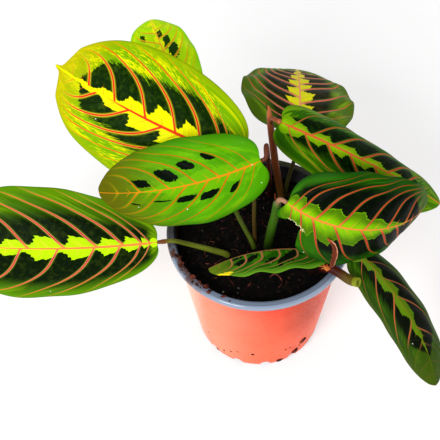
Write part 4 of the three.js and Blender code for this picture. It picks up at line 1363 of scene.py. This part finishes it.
# ---- Scattering the bits of soil ----
luck = random.Random(8)
bark = bits_material("bark and peat crumbs", (8, 5, 3), (42, 24, 16))
spots = [(spot_on_soil(luck), 0.0006 + 0.0012 * luck.random() ** 3) for _ in range(CRUMBS)]
piece("soil_crumbs", crumbs(luck, spots), [bark], smooth=False)

grit = bits_material("pale grit", (84, 88, 84), (150, 150, 140))
proud = Vector((0, 0, 0.0003))
spots = [(spot_on_soil(luck, 0.048) + proud, 0.0003 + 0.0004 * luck.random()) for _ in range(GRIT)]
piece("soil_grit", crumbs(luck, spots), [grit], smooth=False)

roots = bits_material("root fibres", (44, 18, 11), (140, 74, 56))
strands = []
for _ in range(FIBRES):
    start = spot_on_soil(luck, 0.044)
    length = luck.uniform(0.004, 0.010)
    thickness = luck.uniform(0.00018, 0.00032)
    tilt = luck.uniform(0, 0.25)
    strands.append(fibre(luck, start, length, thickness, tilt))
strands.append(tube(smooth_path(CURLED_ROOT, 24), lambda share: 0.0005 * (1 - 0.5 * share), sides=8))
piece("soil_fibres", merged(strands), [roots])

spots = []
for _ in range(RIM_CRUMBS):
    turn = math.radians(luck.triangular(*RIM_CRUMBS_BETWEEN))
    out = luck.triangular(MOUTH_RADIUS, RIM_RADIUS - 0.001, MOUTH_RADIUS)
    spot = Vector((out * math.cos(turn), out * math.sin(turn), POT_HEIGHT + 0.0002))
    spots.append((spot, 0.0003 + 0.0017 * luck.random() ** 3))
dried = bits_material("dried soil on the pot", (46, 16, 8), (112, 52, 36))
piece("pot_crumbs", crumbs(luck, spots), [dried], smooth=False)
piece("pot_dirt", dirt_on_wall(POT_DIRT), [dried])

torn_leaf = LEAVES["front_right"]
torn_corner = blade_point(torn_leaf, rib_points(torn_leaf), *TORN_CORNER)
torn_edge = bits_material("dried torn edge", (206, 180, 110), (246, 240, 190))
piece("torn_curls", tuft(torn_corner, TORN_CURLS, 0.0003), [torn_edge])

# ---- Floor, light and camera ----
FLOOR_SIZE = 9.0
LIGHTS_AIM = Vector((0, 0, 0.1))


def floor_material():
    """Pale paper, lit a little from below as on a light table."""
    return Finish("pale floor").done(
        base_color=(0.56, 0.56, 0.56, 1), roughness=0.9, emission_color=(1, 1, 1, 1), emission_strength=0.46
    )


def paper_floor():
    bm = bmesh.new()
    bmesh.ops.create_grid(bm, x_segments=1, y_segments=1, size=FLOOR_SIZE)
    mesh = bpy.data.meshes.new("floor")
    bm.to_mesh(mesh)
    bm.free()
    mesh.materials.append(floor_material())
    floor = bpy.data.objects.new("floor", mesh)
    bpy.context.collection.objects.link(floor)
    return floor


def softbox(name, place, size, power):
    lamp = bpy.data.lights.new(name, "AREA")
    lamp.size = size
    lamp.energy = power
    holder = bpy.data.objects.new(name, lamp)
    holder.location = place
    holder.rotation_euler = (LIGHTS_AIM - Vector(place)).to_track_quat("-Z", "Y").to_euler()
    bpy.context.collection.objects.link(holder)


paper_floor()
softbox("key light", (-0.6, -0.9, 0.95), 0.5, 15)
softbox("fill light", (0.8, -0.3, 0.7), 0.7, 2)

world = bpy.data.worlds.new("pale room")
world.use_nodes = True
background = world.node_tree.nodes["Background"]
background.inputs["Color"].default_value = (1, 1, 1, 1)
background.inputs["Strength"].default_value = 0.62
bpy.context.scene.world = world
bpy.context.scene.view_settings.view_transform = "Standard"

# The camera stands where the photographer did: above and in front, turned a little about its own line.
CAMERA_TARGET = Vector((-0.0247, 0.0082, 0.110))
CAMERA_DISTANCE = 0.540
CAMERA_ELEVATION = math.radians(53.5)
CAMERA_ROLL = math.radians(-3.4)
LENS = 67.66
SENSOR_WIDTH = 36
back_line = Vector((0, -math.cos(CAMERA_ELEVATION), math.sin(CAMERA_ELEVATION)))
level_up = Vector((0, math.sin(CAMERA_ELEVATION), math.cos(CAMERA_ELEVATION)))
level_right = Vector((1, 0, 0))
right_line = level_right * math.cos(CAMERA_ROLL) + level_up * math.sin(CAMERA_ROLL)
up_line = level_up * math.cos(CAMERA_ROLL) - level_right * math.sin(CAMERA_ROLL)
lens = bpy.data.cameras.new("camera")
lens.sensor_width = SENSOR_WIDTH
lens.lens = LENS
camera = bpy.data.objects.new("camera", lens)
turned = Matrix((right_line, up_line, back_line)).transposed().to_4x4()
camera.matrix_world = Matrix.Translation(CAMERA_TARGET + back_line * CAMERA_DISTANCE) @ turned
bpy.context.collection.objects.link(camera)
bpy.context.scene.camera = camera
